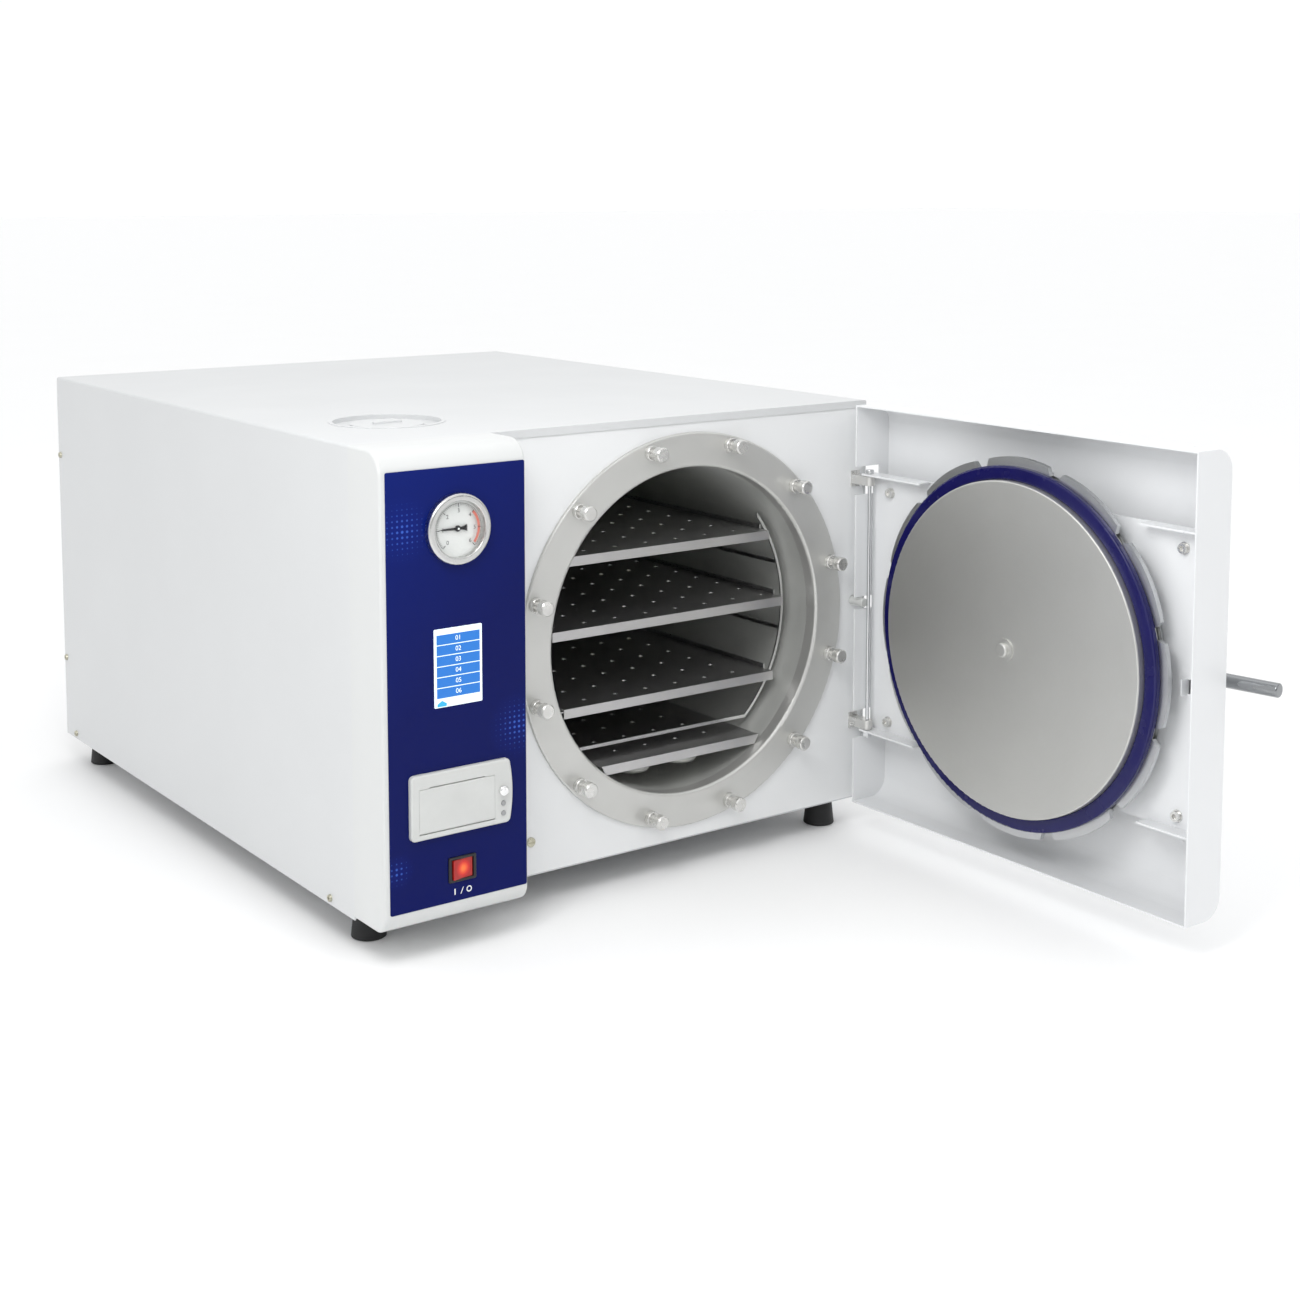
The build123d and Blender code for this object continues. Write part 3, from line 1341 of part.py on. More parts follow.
def main():
    os.makedirs("parts", exist_ok=True)
    make_cabinet_cover()
    make_base_pan()
    make_rubber_feet()
    make_rear_panel()
    make_case_screws()
    make_front_panel()
    make_column_cover()
    make_control_overlay()
    make_gauge_case()
    make_gauge_dial()
    make_gauge_pointer()
    make_gauge_window()
    make_display_window()
    make_printer_housing()
    make_printer_lid()
    make_paper_roll()
    make_printer_knob()
    make_printer_buttons()
    make_switch_bezel()
    make_switch_rocker()
    make_control_board()
    make_flange_ring()
    make_lock_studs()
    make_chamber_shell()
    make_insulation_jacket()
    make_support_frames()
    make_heater_elements()
    make_baffle_plate()
    make_tray_rack()
    make_trays()
    make_temperature_probe()
    make_solenoid_valves()
    make_steam_pipes()
    make_hose_spigots()
    make_safety_valve()
    make_water_tank()
    make_tank_hose()
    make_filler_dish()
    make_filler_lid()
    make_power_supply()
    make_fan_frame()
    make_fan_rotor()
    make_mains_inlet()
    make_door_switch()
    make_door_switch_pin()
    make_hinge_lugs()
    make_hinge_rod()
    make_door_shell()
    make_door_plate()
    make_plate_bolts()
    make_door_disc()
    make_door_gasket()
    make_locking_ring()
    make_hub_bearing()
    make_centre_spindle()
    make_lock_lever()
    make_lever_boss()


main()
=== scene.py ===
"""Looks of a benchtop steam steriliser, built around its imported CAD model."""

import math

import bpy
from mathutils import Matrix, Quaternion, Vector


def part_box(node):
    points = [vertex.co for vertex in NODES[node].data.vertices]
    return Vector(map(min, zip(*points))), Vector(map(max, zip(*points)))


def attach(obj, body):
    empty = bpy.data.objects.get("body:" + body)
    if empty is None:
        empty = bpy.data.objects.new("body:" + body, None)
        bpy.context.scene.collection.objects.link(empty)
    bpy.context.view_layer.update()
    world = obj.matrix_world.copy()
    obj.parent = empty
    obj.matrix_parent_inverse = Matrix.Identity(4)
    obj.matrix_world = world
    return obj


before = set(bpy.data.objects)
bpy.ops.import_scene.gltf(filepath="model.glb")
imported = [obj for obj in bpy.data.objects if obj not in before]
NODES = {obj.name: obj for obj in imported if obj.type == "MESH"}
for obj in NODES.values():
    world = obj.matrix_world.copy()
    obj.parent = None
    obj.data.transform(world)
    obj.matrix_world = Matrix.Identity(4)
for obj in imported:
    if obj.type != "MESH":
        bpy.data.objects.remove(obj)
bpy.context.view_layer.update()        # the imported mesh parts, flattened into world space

# The cabinet's front left bottom corner. Positions below are millimetres from it:
# x to the right, y to the back, z up.
cover_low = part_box("cabinet_cover")[0]
CORNER = Vector((cover_low.x, cover_low.y + 0.0015, cover_low.z))


def at(x, y, z):
    """A place in metres from millimetres beside the corner."""
    return CORNER + Vector((x, y, z)) / 1000


def centre_of(name):
    low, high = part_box(name)
    return (low + high) / 2


# ---------------------------------------------------------------- shader helpers
class Shader:
    """A Principled material and short calls that add nodes to it."""

    def __init__(self, name, colour, rough, metal=0.0, **settings):
        self.material = bpy.data.materials.new(name)
        self.material.use_nodes = True
        self.tree = self.material.node_tree
        self.bsdf = self.tree.nodes["Principled BSDF"]
        self.set("Base Color", (*colour, 1))
        self.set("Roughness", rough)
        self.set("Metallic", metal)
        for key, value in settings.items():
            self.set(key.replace("_", " "), value)
        self.colour = colour
        self.rough = rough
        self.place = self.add("TexCoord").outputs["Object"]

    def set(self, socket, value):
        target = self.bsdf.inputs[socket]
        if isinstance(value, bpy.types.NodeSocket):
            self.tree.links.new(value, target)
        else:
            target.default_value = value

    def add(self, kind, inputs=None, **properties):
        node = self.tree.nodes.new("ShaderNode" + kind)
        for key, value in properties.items():
            setattr(node, key, value)
        for key, value in (inputs or {}).items():
            socket = node.inputs[key]
            if isinstance(value, bpy.types.NodeSocket):
                self.tree.links.new(value, socket)
            else:
                socket.default_value = value
        return node

    def math(self, operation, a, b=0.0, clamp=False):
        node = self.add("Math", {0: a, 1: b}, operation=operation, use_clamp=clamp)
        return node.outputs[0]

    def length(self, u, v):
        """The length of a flat vector."""
        square = self.math("ADD", self.math("MULTIPLY", u, u), self.math("MULTIPLY", v, v))
        return self.math("SQRT", square)

    def noise(self, vector, scale, detail=3.0, rough=0.5):
        inputs = {"Vector": vector, "Scale": scale, "Detail": detail, "Roughness": rough}
        return self.add("TexNoise", inputs).outputs["Fac"]

    def scaled(self, factors, vector=None):
        node = self.add(
            "VectorMath",
            {0: vector or self.place, 1: factors},
            operation="MULTIPLY",
        )
        return node.outputs[0]

    def span(self, value, low, high, start=0.3, end=0.7):
        inputs = {
            "Value": value,
            "From Min": start,
            "From Max": end,
            "To Min": low,
            "To Max": high,
        }
        return self.add("MapRange", inputs).outputs["Result"]

    def mix(self, factor, a, b):
        node = self.add("Mix", data_type="RGBA")
        for index, value in ((0, factor), (6, a), (7, b)):
            socket = node.inputs[index]
            if isinstance(value, bpy.types.NodeSocket):
                self.tree.links.new(value, socket)
            else:
                socket.default_value = value if index == 0 else (*value, 1)
        return node.outputs[2]

    def bump(self, height, distance, strength=1.0):
        node = self.add("Bump", {"Strength": strength, "Distance": distance, "Height": height})
        previous = self.bsdf.inputs["Normal"].links
        if previous:
            self.tree.links.new(previous[0].from_socket, node.inputs["Normal"])
        self.set("Normal", node.outputs["Normal"])

    def vary_rough(self, value, spread):
        self.set("Roughness", self.span(value, self.rough - spread, self.rough + spread))

    def vary_colour(self, value, share):
        darker = tuple(c * (1 - share) for c in self.colour)
        self.set("Base Color", self.mix(self.span(value, 0, 1), self.colour, darker))


def painted(name, colour, rough, peel=0.00004, **settings):
    """Baked paint: a faint orange peel, with its gloss a little uneven."""
    shader = Shader(name, colour, rough, **settings)
    shader.bump(shader.noise(shader.place, 420, 2), peel)
    shader.bump(shader.noise(shader.place, 2600, 1), peel / 6)
    broad = shader.noise(shader.place, 9, 3)
    shader.vary_rough(broad, 0.025)
    shader.vary_colour(broad, 0.012)
    return shader.material


def moulded(name, colour, rough, grain=0.00003, **settings):
    """Moulded plastic or rubber with a spark-eroded grain."""
    shader = Shader(name, colour, rough, **settings)
    shader.bump(shader.noise(shader.place, 2200, 2), grain)
    broad = shader.noise(shader.place, 40, 3)
    shader.vary_rough(broad, 0.06)
    shader.vary_colour(broad, 0.05)
    return shader.material


def sheet_metal(name, colour, rough, stretch=(1, 1, 1), lines=900, depth=0.00001, **settings):
    """Rolled or brushed sheet: fine lines along one axis and soft blotches."""
    shader = Shader(name, colour, rough, 1.0, **settings)
    lines_place = shader.scaled(stretch)
    brush = shader.noise(lines_place, lines, 4, 0.6)
    shader.bump(brush, depth)
    shader.vary_rough(brush, 0.07)
    broad = shader.noise(shader.place, 14, 4)
    shader.vary_colour(broad, 0.10)
    return shader.material


def turned(name, colour, rough, centre, axis, depth=0.000003, blotch=0.05, **settings):
    """Lathe-turned or circle-brushed metal: rings about a centre, with a ring-wise gloss."""
    shader = Shader(name, colour, rough, 1.0, **settings)
    offset = shader.add("VectorMath", {0: shader.place, 1: centre}, operation="SUBTRACT").outputs[0]
    parts = shader.add("SeparateXYZ", {0: offset}).outputs
    u, v = [parts[i] for i in range(3) if i != axis]
    radius = shader.length(u, v)
    turn = shader.math("MULTIPLY", shader.math("ARCTAN2", v, u), 0.004)
    polar = shader.add("CombineXYZ", {0: radius, 1: turn, 2: parts[axis]}).outputs[0]
    rings = shader.noise(polar, 2400, 3, 0.5)
    shader.bump(rings, depth)
    shader.vary_rough(rings, 0.03)
    first, second = [i for i in range(3) if i != axis]
    around = shader.add("CombineXYZ", {first: v, second: shader.math("MULTIPLY", u, -1.0)}).outputs[0]
    world = shader.add(
        "VectorTransform",
        {0: around},
        vector_type="VECTOR",
        convert_from="OBJECT",
        convert_to="WORLD",
    )
    shader.set("Tangent", shader.add("VectorMath", {0: world.outputs[0]}, operation="NORMALIZE").outputs[0])
    broad = shader.noise(shader.place, 16, 4)
    shader.vary_colour(broad, blotch)
    return shader.material


def polished(name, colour, rough, **settings):
    """Plated or polished metal with hairline scratches and a faint haze."""
    shader = Shader(name, colour, rough, 1.0, **settings)
    scratches = shader.noise(shader.scaled((1, 30, 30)), 120, 5, 0.7)
    shader.bump(scratches, 0.000004)
    haze = shader.noise(shader.place, 60, 4)
    shader.vary_rough(haze, rough * 0.5)
    shader.vary_colour(haze, 0.04)
    return shader.material


# ---------------------------------------------------------------- materials
def overlay_film():
    """Glossy navy film: lighter to the top left, with patches of halftone dots."""
    shader = Shader("film_navy", (0.004, 0.010, 0.105), 0.12, Specular_IOR_Level=0.10)
    parts = shader.add("SeparateXYZ", {0: shader.place}).outputs
    x = shader.math("MULTIPLY", shader.math("SUBTRACT", parts[0], CORNER.x), 1000.0)
    z = shader.math("MULTIPLY", shader.math("SUBTRACT", parts[2], CORNER.z), 1000.0)
    rise = shader.span(shader.math("SUBTRACT", z, shader.math("MULTIPLY", x, 0.9)), 0, 1, 180, 440)
    ground = shader.mix(rise, (0.003, 0.007, 0.090), (0.003, 0.012, 0.145))
    fall = shader.span(z, 1, 0, 20, 110)
    ground = shader.mix(shader.math("MULTIPLY", fall, 0.6), ground, (0.002, 0.006, 0.10))
    cell_x = shader.math("SUBTRACT", shader.math("FRACT", shader.math("DIVIDE", x, DOT_PITCH)), 0.5)
    cell_z = shader.math("SUBTRACT", shader.math("FRACT", shader.math("DIVIDE", z, DOT_PITCH)), 0.5)
    from_dot = shader.length(cell_x, cell_z)
    glow = 0.0
    for patch_x, patch_z, reach in DOT_PATCHES:
        away = shader.length(shader.math("SUBTRACT", x, patch_x), shader.math("SUBTRACT", z, patch_z))
        glow = shader.math("MAXIMUM", glow, shader.span(away, 1, 0, 0, reach))
    radius = shader.math("MULTIPLY", glow, DOT_RADIUS)
    dot = shader.span(shader.math("SUBTRACT", radius, from_dot), 0, 1, -0.06, 0.06)
    dot = shader.math("MULTIPLY", dot, glow)
    ground = shader.mix(shader.math("MULTIPLY", glow, 0.25), ground, (0.006, 0.022, 0.26))
    shader.set("Base Color", shader.mix(dot, ground, (0.04, 0.11, 0.52)))
    shader.bump(shader.noise(shader.place, 160, 2), 0.00002)
    return shader.material


def glowing_rocker():
    """A lit translucent red rocker: a hot spot over the lamp in its middle."""
    shader = Shader("plastic_lit_red", (0.34, 0.006, 0.005), 0.28, Coat_Weight=0.15, Coat_Roughness=0.10)
    lamp = centre_of("switch_rocker")
    away = shader.add("VectorMath", {0: shader.place, 1: lamp}, operation="DISTANCE").outputs["Value"]
    core = shader.span(away, 1, 0, 0.0025, 0.0075)
    colour = shader.mix(core, (1.0, 0.02, 0.008), (1.0, 0.45, 0.06))
    shader.set("Emission Color", colour)
    power = shader.span(away, 1.0, 0.06, 0.001, 0.010)
    shader.set("Emission Strength", power)
    shader.bump(shader.noise(shader.place, 900, 2), 0.00002)
    return shader.material


def printed_dial():
    """White enamelled dial with a fine matt speckle."""
    shader = Shader("dial_white", (0.80, 0.82, 0.80), 0.5)
    shader.bump(shader.noise(shader.place, 3000, 2), 0.00001)
    shader.vary_colour(shader.noise(shader.place, 600, 2), 0.04)
    return shader.material


def lit_print(name, colour, power):
    """A lit area of the screen, with its fine pixel rows."""
    shader = Shader(name, colour, 0.30, Coat_Weight=0.15)
    rows = shader.noise(shader.scaled((1, 1, 60)), 60, 1)
    shader.set("Emission Color", shader.mix(shader.span(rows, 0, 1), colour, tuple(c * 0.93 for c in colour)))
    shader.set("Emission Strength", power)
    return shader.material


def silicone():
    """Navy silicone with a soft gloss."""
    shader = Shader(
        "silicone_navy",
        (0.008, 0.007, 0.090),
        0.24,
        Specular_IOR_Level=0.3,
        Coat_Weight=0.15,
        Coat_Roughness=0.10,
    )
    shader.bump(shader.noise(shader.place, 300, 3), 0.00003)
    shader.vary_rough(shader.noise(shader.place, 30, 3), 0.06)
    shader.vary_colour(shader.noise(shader.place, 25, 3), 0.15)
    return shader.material


def clear_glass():
    """Thin clear glass that is barely seen."""
    shader = Shader("glass_clear", (1, 1, 1), 0.02, Transmission_Weight=1.0, IOR=1.25, Alpha=0.25)
    shader.bump(shader.noise(shader.place, 80, 1), 0.000004)
    return shader.material


def woven_blanket():
    """Woven glass-fibre insulation."""
    shader = Shader("blanket_glass_fibre", (0.62, 0.60, 0.52), 0.85, Sheen_Weight=0.4)
    weave = shader.add("TexWave", {"Vector": shader.place, "Scale": 160.0, "Distortion": 1.5}).outputs["Fac"]
    shader.bump(weave, 0.0004)
    shader.vary_colour(shader.noise(shader.place, 120, 3), 0.2)
    return shader.material


# The film's halftone patches: x, z and reach in millimetres, and the dot's radius in pitches.
DOT_PATCHES = [(24.0, 383.0, 34.0), (146.0, 181.0, 34.0), (14.0, 62.0, 18.0)]
DOT_PITCH = 5.2
DOT_RADIUS = 0.27
CHAMBER = centre_of("flange_ring")
DISC = centre_of("door_disc")

# One white paint in four brightnesses: darker on the cabinet cover and column as painted shade, lighter on
# the front panel and door as painted light.
white_paint_shaded = painted("paint_white_shaded", (0.64, 0.65, 0.655), 0.42, Coat_Weight=0.15, Coat_Roughness=0.2)
white_paint_lit_panel = painted(
    "paint_white_lit_panel", (0.79, 0.80, 0.805), 0.42, Coat_Weight=0.15, Coat_Roughness=0.2
)
white_paint_shaded_column = painted("paint_white_shaded_column", (0.65, 0.66, 0.655), 0.32, Coat_Weight=0.3, Coat_Roughness=0.12)
white_paint_lit_door = painted("paint_white_lit_door", (0.82, 0.83, 0.84), 0.34, Coat_Weight=0.25, Coat_Roughness=0.15)
zinc_sheet = sheet_metal("sheet_zinc", (0.60, 0.61, 0.62), 0.36, (1, 1, 12), 200)
yellow_zinc = sheet_metal("zinc_yellow", (0.55, 0.53, 0.42), 0.30, (1, 1, 1), 700)
flange_steel = turned("steel_flange", (0.62, 0.62, 0.60), 0.36, CHAMBER, 1, Anisotropic=0.45, Metallic=0.6)
vessel_steel = turned("steel_vessel", (0.72, 0.73, 0.70), 0.48, CHAMBER, 1, blotch=0.10, Metallic=0.6)
disc_steel = turned("steel_disc", (0.64, 0.64, 0.62), 0.52, DISC, 0, blotch=0.03)
ring_steel = turned("steel_ring", (0.62, 0.63, 0.64), 0.36, DISC, 0, blotch=0.08)
tray_steel = sheet_metal("steel_tray", (0.60, 0.595, 0.595), 0.36, (1, 14, 14), 160, 0.0000004)
rack_steel = sheet_metal("steel_rack", (0.64, 0.64, 0.64), 0.30, (14, 1, 14), 160, 0.000004)
stud_steel = polished("steel_stud", (0.70, 0.695, 0.675), 0.28, Metallic=0.8)
dark_chrome = polished("chrome_dark", (0.30, 0.31, 0.32), 0.08)
bezel_steel = turned("steel_bezel", (0.64, 0.64, 0.63), 0.26, centre_of("gauge_case"), 1, Anisotropic=0.3)
chrome = polished("chrome", (0.66, 0.67, 0.68), 0.07)
bronze = sheet_metal("bronze", (0.62, 0.42, 0.20), 0.34)
brass = sheet_metal("brass", (0.72, 0.54, 0.26), 0.28)
copper = sheet_metal("copper", (0.70, 0.38, 0.24), 0.30)
ivory = moulded("plastic_ivory", (0.62, 0.63, 0.615), 0.40, 0.00003)
silver_knob = polished("silver_knob", (0.86, 0.86, 0.86), 0.16)
natural_tank = moulded("plastic_natural", (0.72, 0.74, 0.74), 0.38, Subsurface_Weight=0.2)
black_plastic = moulded("plastic_black", (0.012, 0.012, 0.014), 0.38)
mid_grey = moulded("plastic_mid_grey", (0.34, 0.345, 0.35), 0.35)
rubber = moulded("rubber_black", (0.010, 0.010, 0.011), 0.62, 0.00008)
paper = moulded("paper_thermal", (0.80, 0.80, 0.78), 0.75)
board = moulded("board_green", (0.01, 0.10, 0.04), 0.35, 0.0001)
film = overlay_film()
red_lit = glowing_rocker()
dial = printed_dial()
screen_white = lit_print("screen_white", (0.80, 0.90, 0.95), 0.35)
screen_blue = lit_print("screen_blue", (0.006, 0.17, 0.60), 0.12)
silicone_navy = silicone()
glass = clear_glass()
blanket = woven_blanket()
print_black = moulded("print_black", (0.012, 0.012, 0.012), 0.5, 0.00001)
print_red = moulded("print_red", (0.70, 0.20, 0.15), 0.5, 0.00001)
print_white = moulded("print_white", (0.85, 0.87, 0.88), 0.4, 0.00001)
print_cyan = lit_print("screen_cyan", (0.02, 0.35, 0.60), 0.4)

FINISH = {
    white_paint_shaded: ["cabinet_cover", "filler_dish", "filler_lid"],
    white_paint_lit_panel: ["front_panel"],
    white_paint_shaded_column: ["column_cover"],
    white_paint_lit_door: ["door_shell", "door_plate"],
    zinc_sheet: ["base_pan", "rear_panel", "power_supply", "support_frames"],
    yellow_zinc: ["case_screws"],
    flange_steel: ["flange_ring"],
    vessel_steel: ["chamber_shell", "heater_elements", "temperature_probe"],
    disc_steel: ["door_disc", "centre_spindle"],
    ring_steel: ["locking_ring"],
    tray_steel: ["tray_upper", "tray_middle", "tray_lower", "baffle_plate"],
    rack_steel: ["tray_rack"],
    stud_steel: ["lock_studs", "hinge_lugs", "plate_bolts"],
    bezel_steel: ["gauge_case"],
    chrome: ["lever_boss", "hinge_rod"],
    dark_chrome: ["lock_lever"],
    bronze: ["hub_bearing"],
    brass: ["hose_spigots", "safety_valve", "solenoid_valves"],
    copper: ["steam_pipes", "tank_hose"],
    ivory: ["printer_housing", "printer_lid", "door_switch_pin"],
    silver_knob: ["printer_knob"],
    natural_tank: ["water_tank"],
    black_plastic: ["switch_bezel", "gauge_pointer", "fan_frame", "fan_rotor", "mains_inlet", "door_switch"],
    mid_grey: ["printer_feed_button", "printer_power_button"],
    rubber: ["rubber_feet"],
    paper: ["paper_roll"],
    board: ["control_board"],
    film: ["control_overlay"],
    red_lit: ["switch_rocker"],
    dial: ["gauge_dial"],
    screen_white: ["display_window"],
    silicone_navy: ["door_gasket"],
    glass: ["gauge_window"],
    blanket: ["insulation_jacket"],
}
for material, names in FINISH.items():
    for name in names:
        NODES[name].data.materials.clear()
        NODES[name].data.materials.append(material)


# ---------------------------------------------------------------- printed detail
def piece(name, points, faces, material, body="cabinet", slot=None):
    """A mesh piece that rides on a body."""
    mesh = bpy.data.meshes.new(name)
    mesh.from_pydata([tuple(p) for p in points], [], faces)
    mesh.update()
    made = bpy.data.objects.new(name, mesh)
    bpy.context.scene.collection.objects.link(made)
    made.data.materials.append(material)
    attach(made, body)
    return made


def slab(outline, face, depth):
    """Points and faces of a raised print: an outline in x and z, proud of a face at y."""
    count = len(outline)
    points = [at(x, face - depth, z) for x, z in outline] + [at(x, face, z) for x, z in outline]
    faces = [tuple(range(count)), tuple(reversed(range(count, 2 * count)))]
    for i in range(count):
        j = (i + 1) % count
        faces.append((i, i + count, j + count, j))
    return points, faces


def joined(parts):
    """Several point and face lists as one."""
    points, faces = [], []
    for part_points, part_faces in parts:
        start = len(points)
        points += part_points
        faces += [tuple(i + start for i in face) for face in part_faces]
    return points, faces


def rectangle(x, z):
    return [(x[0], z[0]), (x[1], z[0]), (x[1], z[1]), (x[0], z[1])]


def band_strip(centre, inner, outer, start, end, face, depth, steps=40):
    """A closed raised arc band, made of quads."""
    rows = []
    for k in range(steps + 1):
        angle = math.radians(start + (end - start) * k / steps)
        c, s = math.cos(angle), math.sin(angle)
        for radius in (inner, outer):
            for y in (face - depth, face):
                rows.append(at(centre[0] + radius * c, y, centre[1] + radius * s))
    faces = []
    for k in range(steps):
        a, b = 4 * k, 4 * k + 4
        faces += [
            (a, a + 2, b + 2, b),
            (a + 1, b + 1, b + 3, a + 3),
            (a, b, b + 1, a + 1),
            (a + 2, a + 3, b + 3, b + 2),
        ]
    end_row = 4 * steps
    faces += [(0, 1, 3, 2), (end_row, end_row + 2, end_row + 3, end_row + 1)]
    return rows, faces


def number(name, text, centre, height, face, material, body="cabinet", depth=0.08):
    """Generic numerals as a thin raised print, facing the front."""
    curve = bpy.data.curves.new(name, "FONT")
    curve.body = text
    curve.size = height / 1000 * 1.38
    curve.align_x = "CENTER"
    curve.align_y = "CENTER"
    curve.extrude = depth / 2000
    curve.resolution_u = 6
    holder = bpy.data.objects.new(name + "_text", curve)
    bpy.context.scene.collection.objects.link(holder)
    bpy.context.view_layer.update()
    mesh = bpy.data.meshes.new_from_object(holder)
    bpy.data.objects.remove(holder)
    mesh.name = name
    x, z = centre
    mesh.transform(Matrix.Translation(at(x, face - depth / 2, z)) @ Matrix.Rotation(math.radians(90), 4, "X"))
    made = bpy.data.objects.new(name, mesh)
    bpy.context.scene.collection.objects.link(made)
    mesh.materials.clear()
    mesh.materials.append(material)
    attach(made, body)
    return made


PRINT_DEPTH = 0.05
DIAL_PRINT_DEPTH = 0.08
GAUGE = (81.0, 380.0)
DIAL_FACE = (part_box("gauge_dial")[0].y - CORNER.y) * 1000
NUMERAL_COUNT = 7
TICKS_PER_NUMERAL = 10
SCALE_START = 225
SCALE_SWEEP = 270
TICK_TIP = 24.2


def make_dial_print():
    """The dial's ticks, rim line, red band and numerals."""
    ticks = []
    tick_spaces = TICKS_PER_NUMERAL * (NUMERAL_COUNT - 1)
    for k in range(tick_spaces + 1):
        angle = math.radians(SCALE_START - SCALE_SWEEP * k / tick_spaces)
        long_tick = k % TICKS_PER_NUMERAL == 0
        inner = 20.6 if long_tick else 22.4
        half = 0.34 if long_tick else 0.14
        c, s = math.cos(angle), math.sin(angle)
        outline = []
        for radius, side in ((inner, -1), (TICK_TIP, -1), (TICK_TIP, 1), (inner, 1)):
            outline.append(
                (GAUGE[0] + radius * c - side * half * s, GAUGE[1] + radius * s + side * half * c)
            )
        ticks.append(slab(outline, DIAL_FACE, DIAL_PRINT_DEPTH))
    rim_line = band_strip(GAUGE, TICK_TIP, 24.5, -45, SCALE_START, DIAL_FACE, DIAL_PRINT_DEPTH, 90)
    ticks.append(rim_line)
    piece("dial_ticks", *joined(ticks), print_black, slot="black_plastic")
    piece(
        "dial_red_band",
        *band_strip(GAUGE, 20.4, 23.0, -40, 45, DIAL_FACE, 0.06, 40),
        print_red,
        slot="red_plastic",
    )
    for k in range(NUMERAL_COUNT):
        angle = math.radians(SCALE_START - SCALE_SWEEP * k / (NUMERAL_COUNT - 1))
        spot = (GAUGE[0] + 17.2 * math.cos(angle), GAUGE[1] + 17.2 * math.sin(angle))
        number(f"dial_number_{k}", str(k), spot, 4.0, DIAL_FACE, print_black)


make_dial_print()

DISPLAY = (81.0, 249.0)
SCREEN_FACE = (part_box("display_window")[0].y - CORNER.y) * 1000
ROW_COUNT = 6
ROW_PITCH = 10.2
ROW_HEIGHT = 9.4
ROW_HALF_WIDTH = 23.4
FIRST_ROW_TOP = 31.8


def make_screen_print():
    """The screen's six rows with their numbers, and a small arrow."""
    x, z = DISPLAY
    rows = []
    for k in range(ROW_COUNT):
        top = z + FIRST_ROW_TOP - ROW_PITCH * k
        row = rectangle((x - ROW_HALF_WIDTH, x + ROW_HALF_WIDTH), (top - ROW_HEIGHT, top))
        rows.append(slab(row, SCREEN_FACE, PRINT_DEPTH))
        number(
            f"screen_number_{k + 1}",
            f"0{k + 1}",
            (x, top - ROW_HEIGHT / 2),
            4.6,
            SCREEN_FACE - PRINT_DEPTH,
            screen_white,
            depth=PRINT_DEPTH,
        )
    piece("screen_rows", *joined(rows), screen_blue, slot="display_blue")
    foot = z - 36.5
    arrow = slab(
        [(x - 23, foot), (x - 13, foot), (x - 13, foot + 2.6), (x - 18, foot + 5.6), (x - 23, foot + 2.6)],
        SCREEN_FACE,
        PRINT_DEPTH,
    )
    piece("screen_arrow", *arrow, print_cyan, slot="display_blue")


make_screen_print()

SWITCH = (83.0, 52.25)
MARKS_BELOW_SWITCH = 22.0
FILM_FACE = (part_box("control_overlay")[0].y - CORNER.y) * 1000


def make_switch_marks():
    """The generic on and off marks under the rocker."""
    x, z = SWITCH[0], SWITCH[1] - MARKS_BELOW_SWITCH
    bar = slab(rectangle((x - 8.4, x - 7.2), (z - 2.9, z + 2.9)), FILM_FACE, PRINT_DEPTH)
    ring = band_strip((x + 7.8, z), 1.9, 3.0, 0, 360, FILM_FACE, PRINT_DEPTH, 48)
    slash_outline = [(x - 1.9, z - 3.2), (x - 1.1, z - 3.2), (x + 1.9, z + 3.2), (x + 1.1, z + 3.2)]
    slash = slab(slash_outline, FILM_FACE, PRINT_DEPTH)
    piece("switch_marks", *joined([bar, ring, slash]), print_white, slot="white_dial")


make_switch_marks()

# ---------------------------------------------------------------- shading of the metal
for node in NODES.values():
    if node.hide_render:
        continue
    edges = node.modifiers.new("edge_shading", "WEIGHTED_NORMAL")
    edges.keep_sharp = True


# ---------------------------------------------------------------- stage, lights and camera
FLOOR_HALF_WIDTH = 40.0
FLOOR_DROP = 0.0002


def floor():
    """A plain pale floor, a hair under the feet."""
    mesh = bpy.data.meshes.new("floor")
    half = FLOOR_HALF_WIDTH
    corners = [(-half, -half), (half, -half), (half, half), (-half, half)]
    mesh.from_pydata([(x, y, -FLOOR_DROP) for x, y in corners], [], [(0, 1, 2, 3)])
    made = bpy.data.objects.new("floor", mesh)
    bpy.context.scene.collection.objects.link(made)
    shader = Shader("floor_pale", (0.985, 0.985, 0.985), 0.6, Specular_IOR_Level=0.2)
    shader.vary_colour(shader.noise(shader.place, 3, 2), 0.006)
    made.data.materials.append(shader.material)


def softbox(name, place, target, size, power):
    """A rectangular area light that faces its target."""
    light = bpy.data.lights.new(name, "AREA")
    light.shape = "RECTANGLE"
    light.size, light.size_y = size
    light.energy = power
    made = bpy.data.objects.new(name, light)
    made.location = place
    made.rotation_mode = "QUATERNION"
    made.rotation_quaternion = (Vector(target) - Vector(place)).to_track_quat("-Z", "Y")
    bpy.context.scene.collection.objects.link(made)
    return made


floor()
softbox("light_top", (0.3, 0.2, 3.2), (0, 0, 0.2), (2.6, 2.6), 7)
softbox("light_front", (0.1, -3.4, 1.9), (0.1, 0, 0.25), (1.6, 1.6), 4)
softbox("light_door", (-0.75, -0.75, 1.15), (0.25, -0.30, 0.25), (0.5, 0.5), 6)

SKY_STRENGTH = 1.03
SCREEN_DARKNESS = 0.80

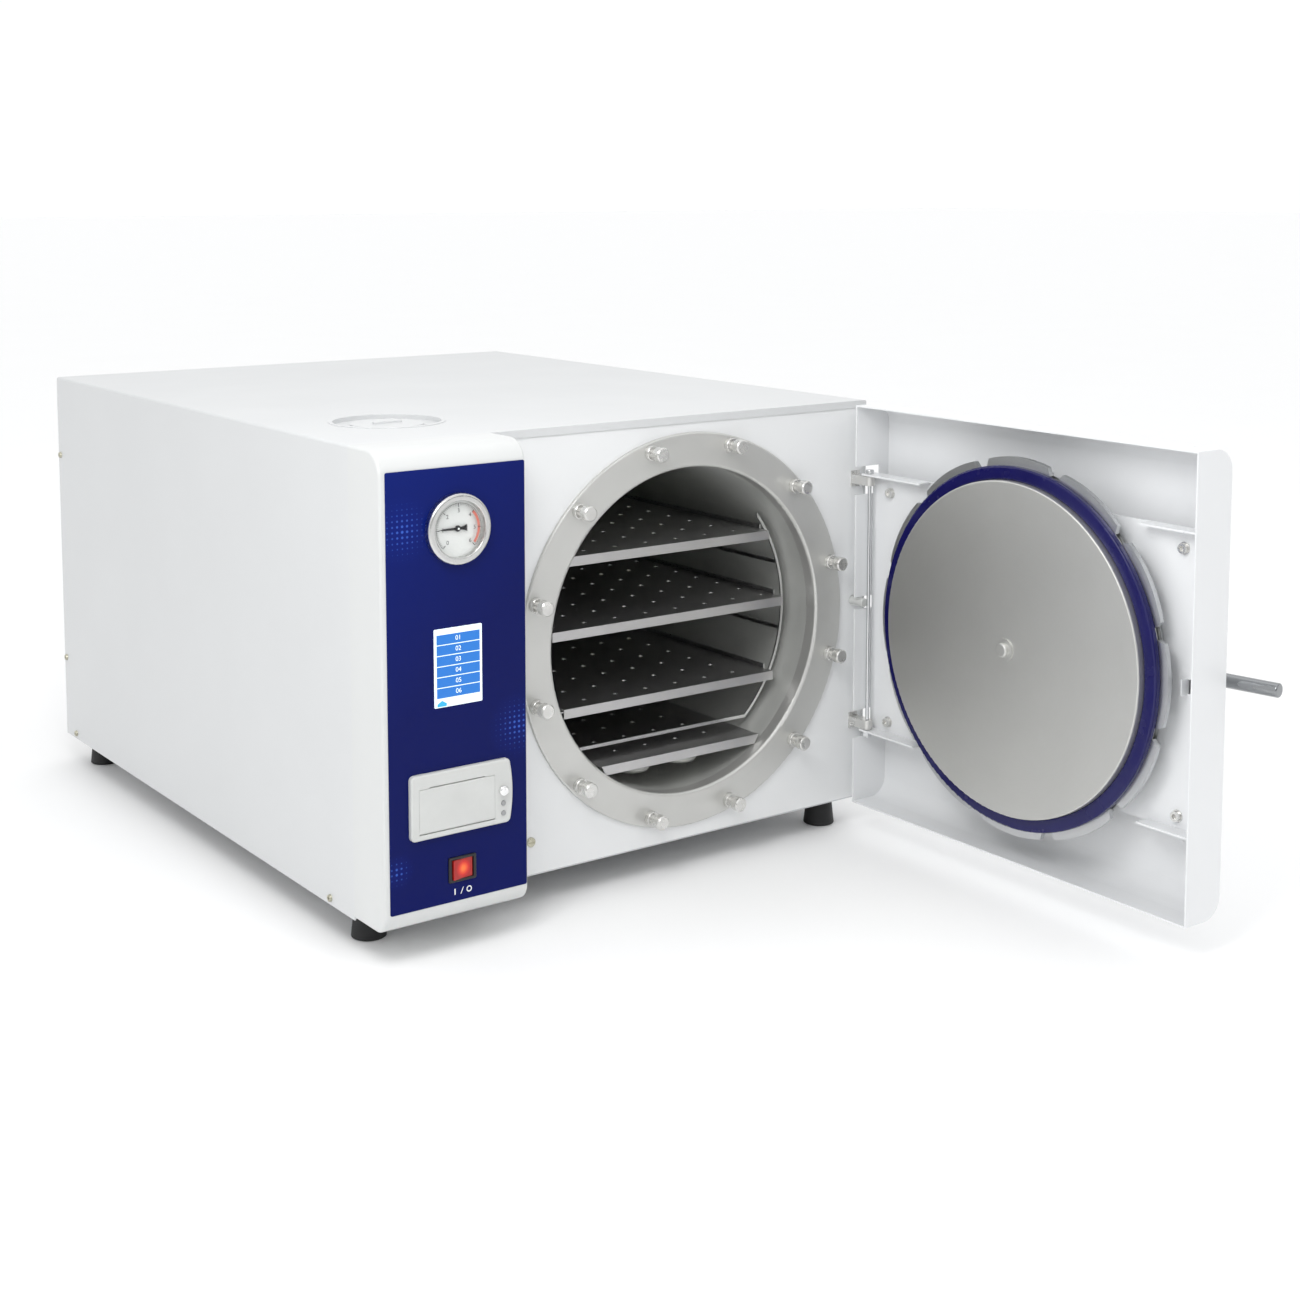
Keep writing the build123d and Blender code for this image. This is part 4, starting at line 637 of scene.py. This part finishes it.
world = bpy.data.worlds.new("studio")
bpy.context.scene.world = world
world.use_nodes = True
sky = world.node_tree
direction = sky.nodes.new("ShaderNodeTexCoord")
split = sky.nodes.new("ShaderNodeSeparateXYZ")
sky.links.new(direction.outputs["Generated"], split.inputs[0])


def sky_fall(value, start, end):
    """From one down to zero between two values."""
    node = sky.nodes.new("ShaderNodeMapRange")
    node.interpolation_type = "SMOOTHSTEP"
    for key, limit in (("From Min", start), ("From Max", end), ("To Min", 1.0), ("To Max", 0.0)):
        node.inputs[key].default_value = limit
    sky.links.new(value, node.inputs["Value"])
    return node.outputs["Result"]


def sky_math(operation, a, b):
    node = sky.nodes.new("ShaderNodeMath")
    node.operation = operation
    for index, value in enumerate((a, b)):
        if isinstance(value, bpy.types.NodeSocket):
            sky.links.new(value, node.inputs[index])
        else:
            node.inputs[index].default_value = value
    return node.outputs[0]


# A dark screen low behind the camera gives the polished metal something to show.
low_band = sky_fall(split.outputs["Z"], 0.16, 0.34)
front_side = sky_fall(split.outputs["Y"], -0.75, -0.25)
screen = sky_math("MULTIPLY", low_band, front_side)
strength = sky_math("SUBTRACT", SKY_STRENGTH, sky_math("MULTIPLY", screen, SCREEN_DARKNESS))
sky.links.new(strength, sky.nodes["Background"].inputs["Strength"])
sky.nodes["Background"].inputs["Color"].default_value = (0.99, 0.995, 1.0, 1)

YAW = 0.62793
PITCH = 0.10076
LENS = 53.93
SHIFT_UP = -0.2077
CAMERA_PLACE = (-828.7, -1623.3, 701.0)
camera_data = bpy.data.cameras.new("camera")
camera_data.sensor_width = 36
camera_data.lens = LENS
camera_data.shift_y = SHIFT_UP
camera_data.clip_start = 0.05
camera = bpy.data.objects.new("camera", camera_data)
bpy.context.scene.collection.objects.link(camera)
camera.location = at(*CAMERA_PLACE)
forward = Vector((math.sin(YAW) * math.cos(PITCH), math.cos(YAW) * math.cos(PITCH), -math.sin(PITCH)))
camera.rotation_mode = "QUATERNION"
camera.rotation_quaternion = forward.to_track_quat("-Z", "Y")
bpy.context.scene.camera = camera
bpy.context.scene.view_settings.view_transform = "Standard"
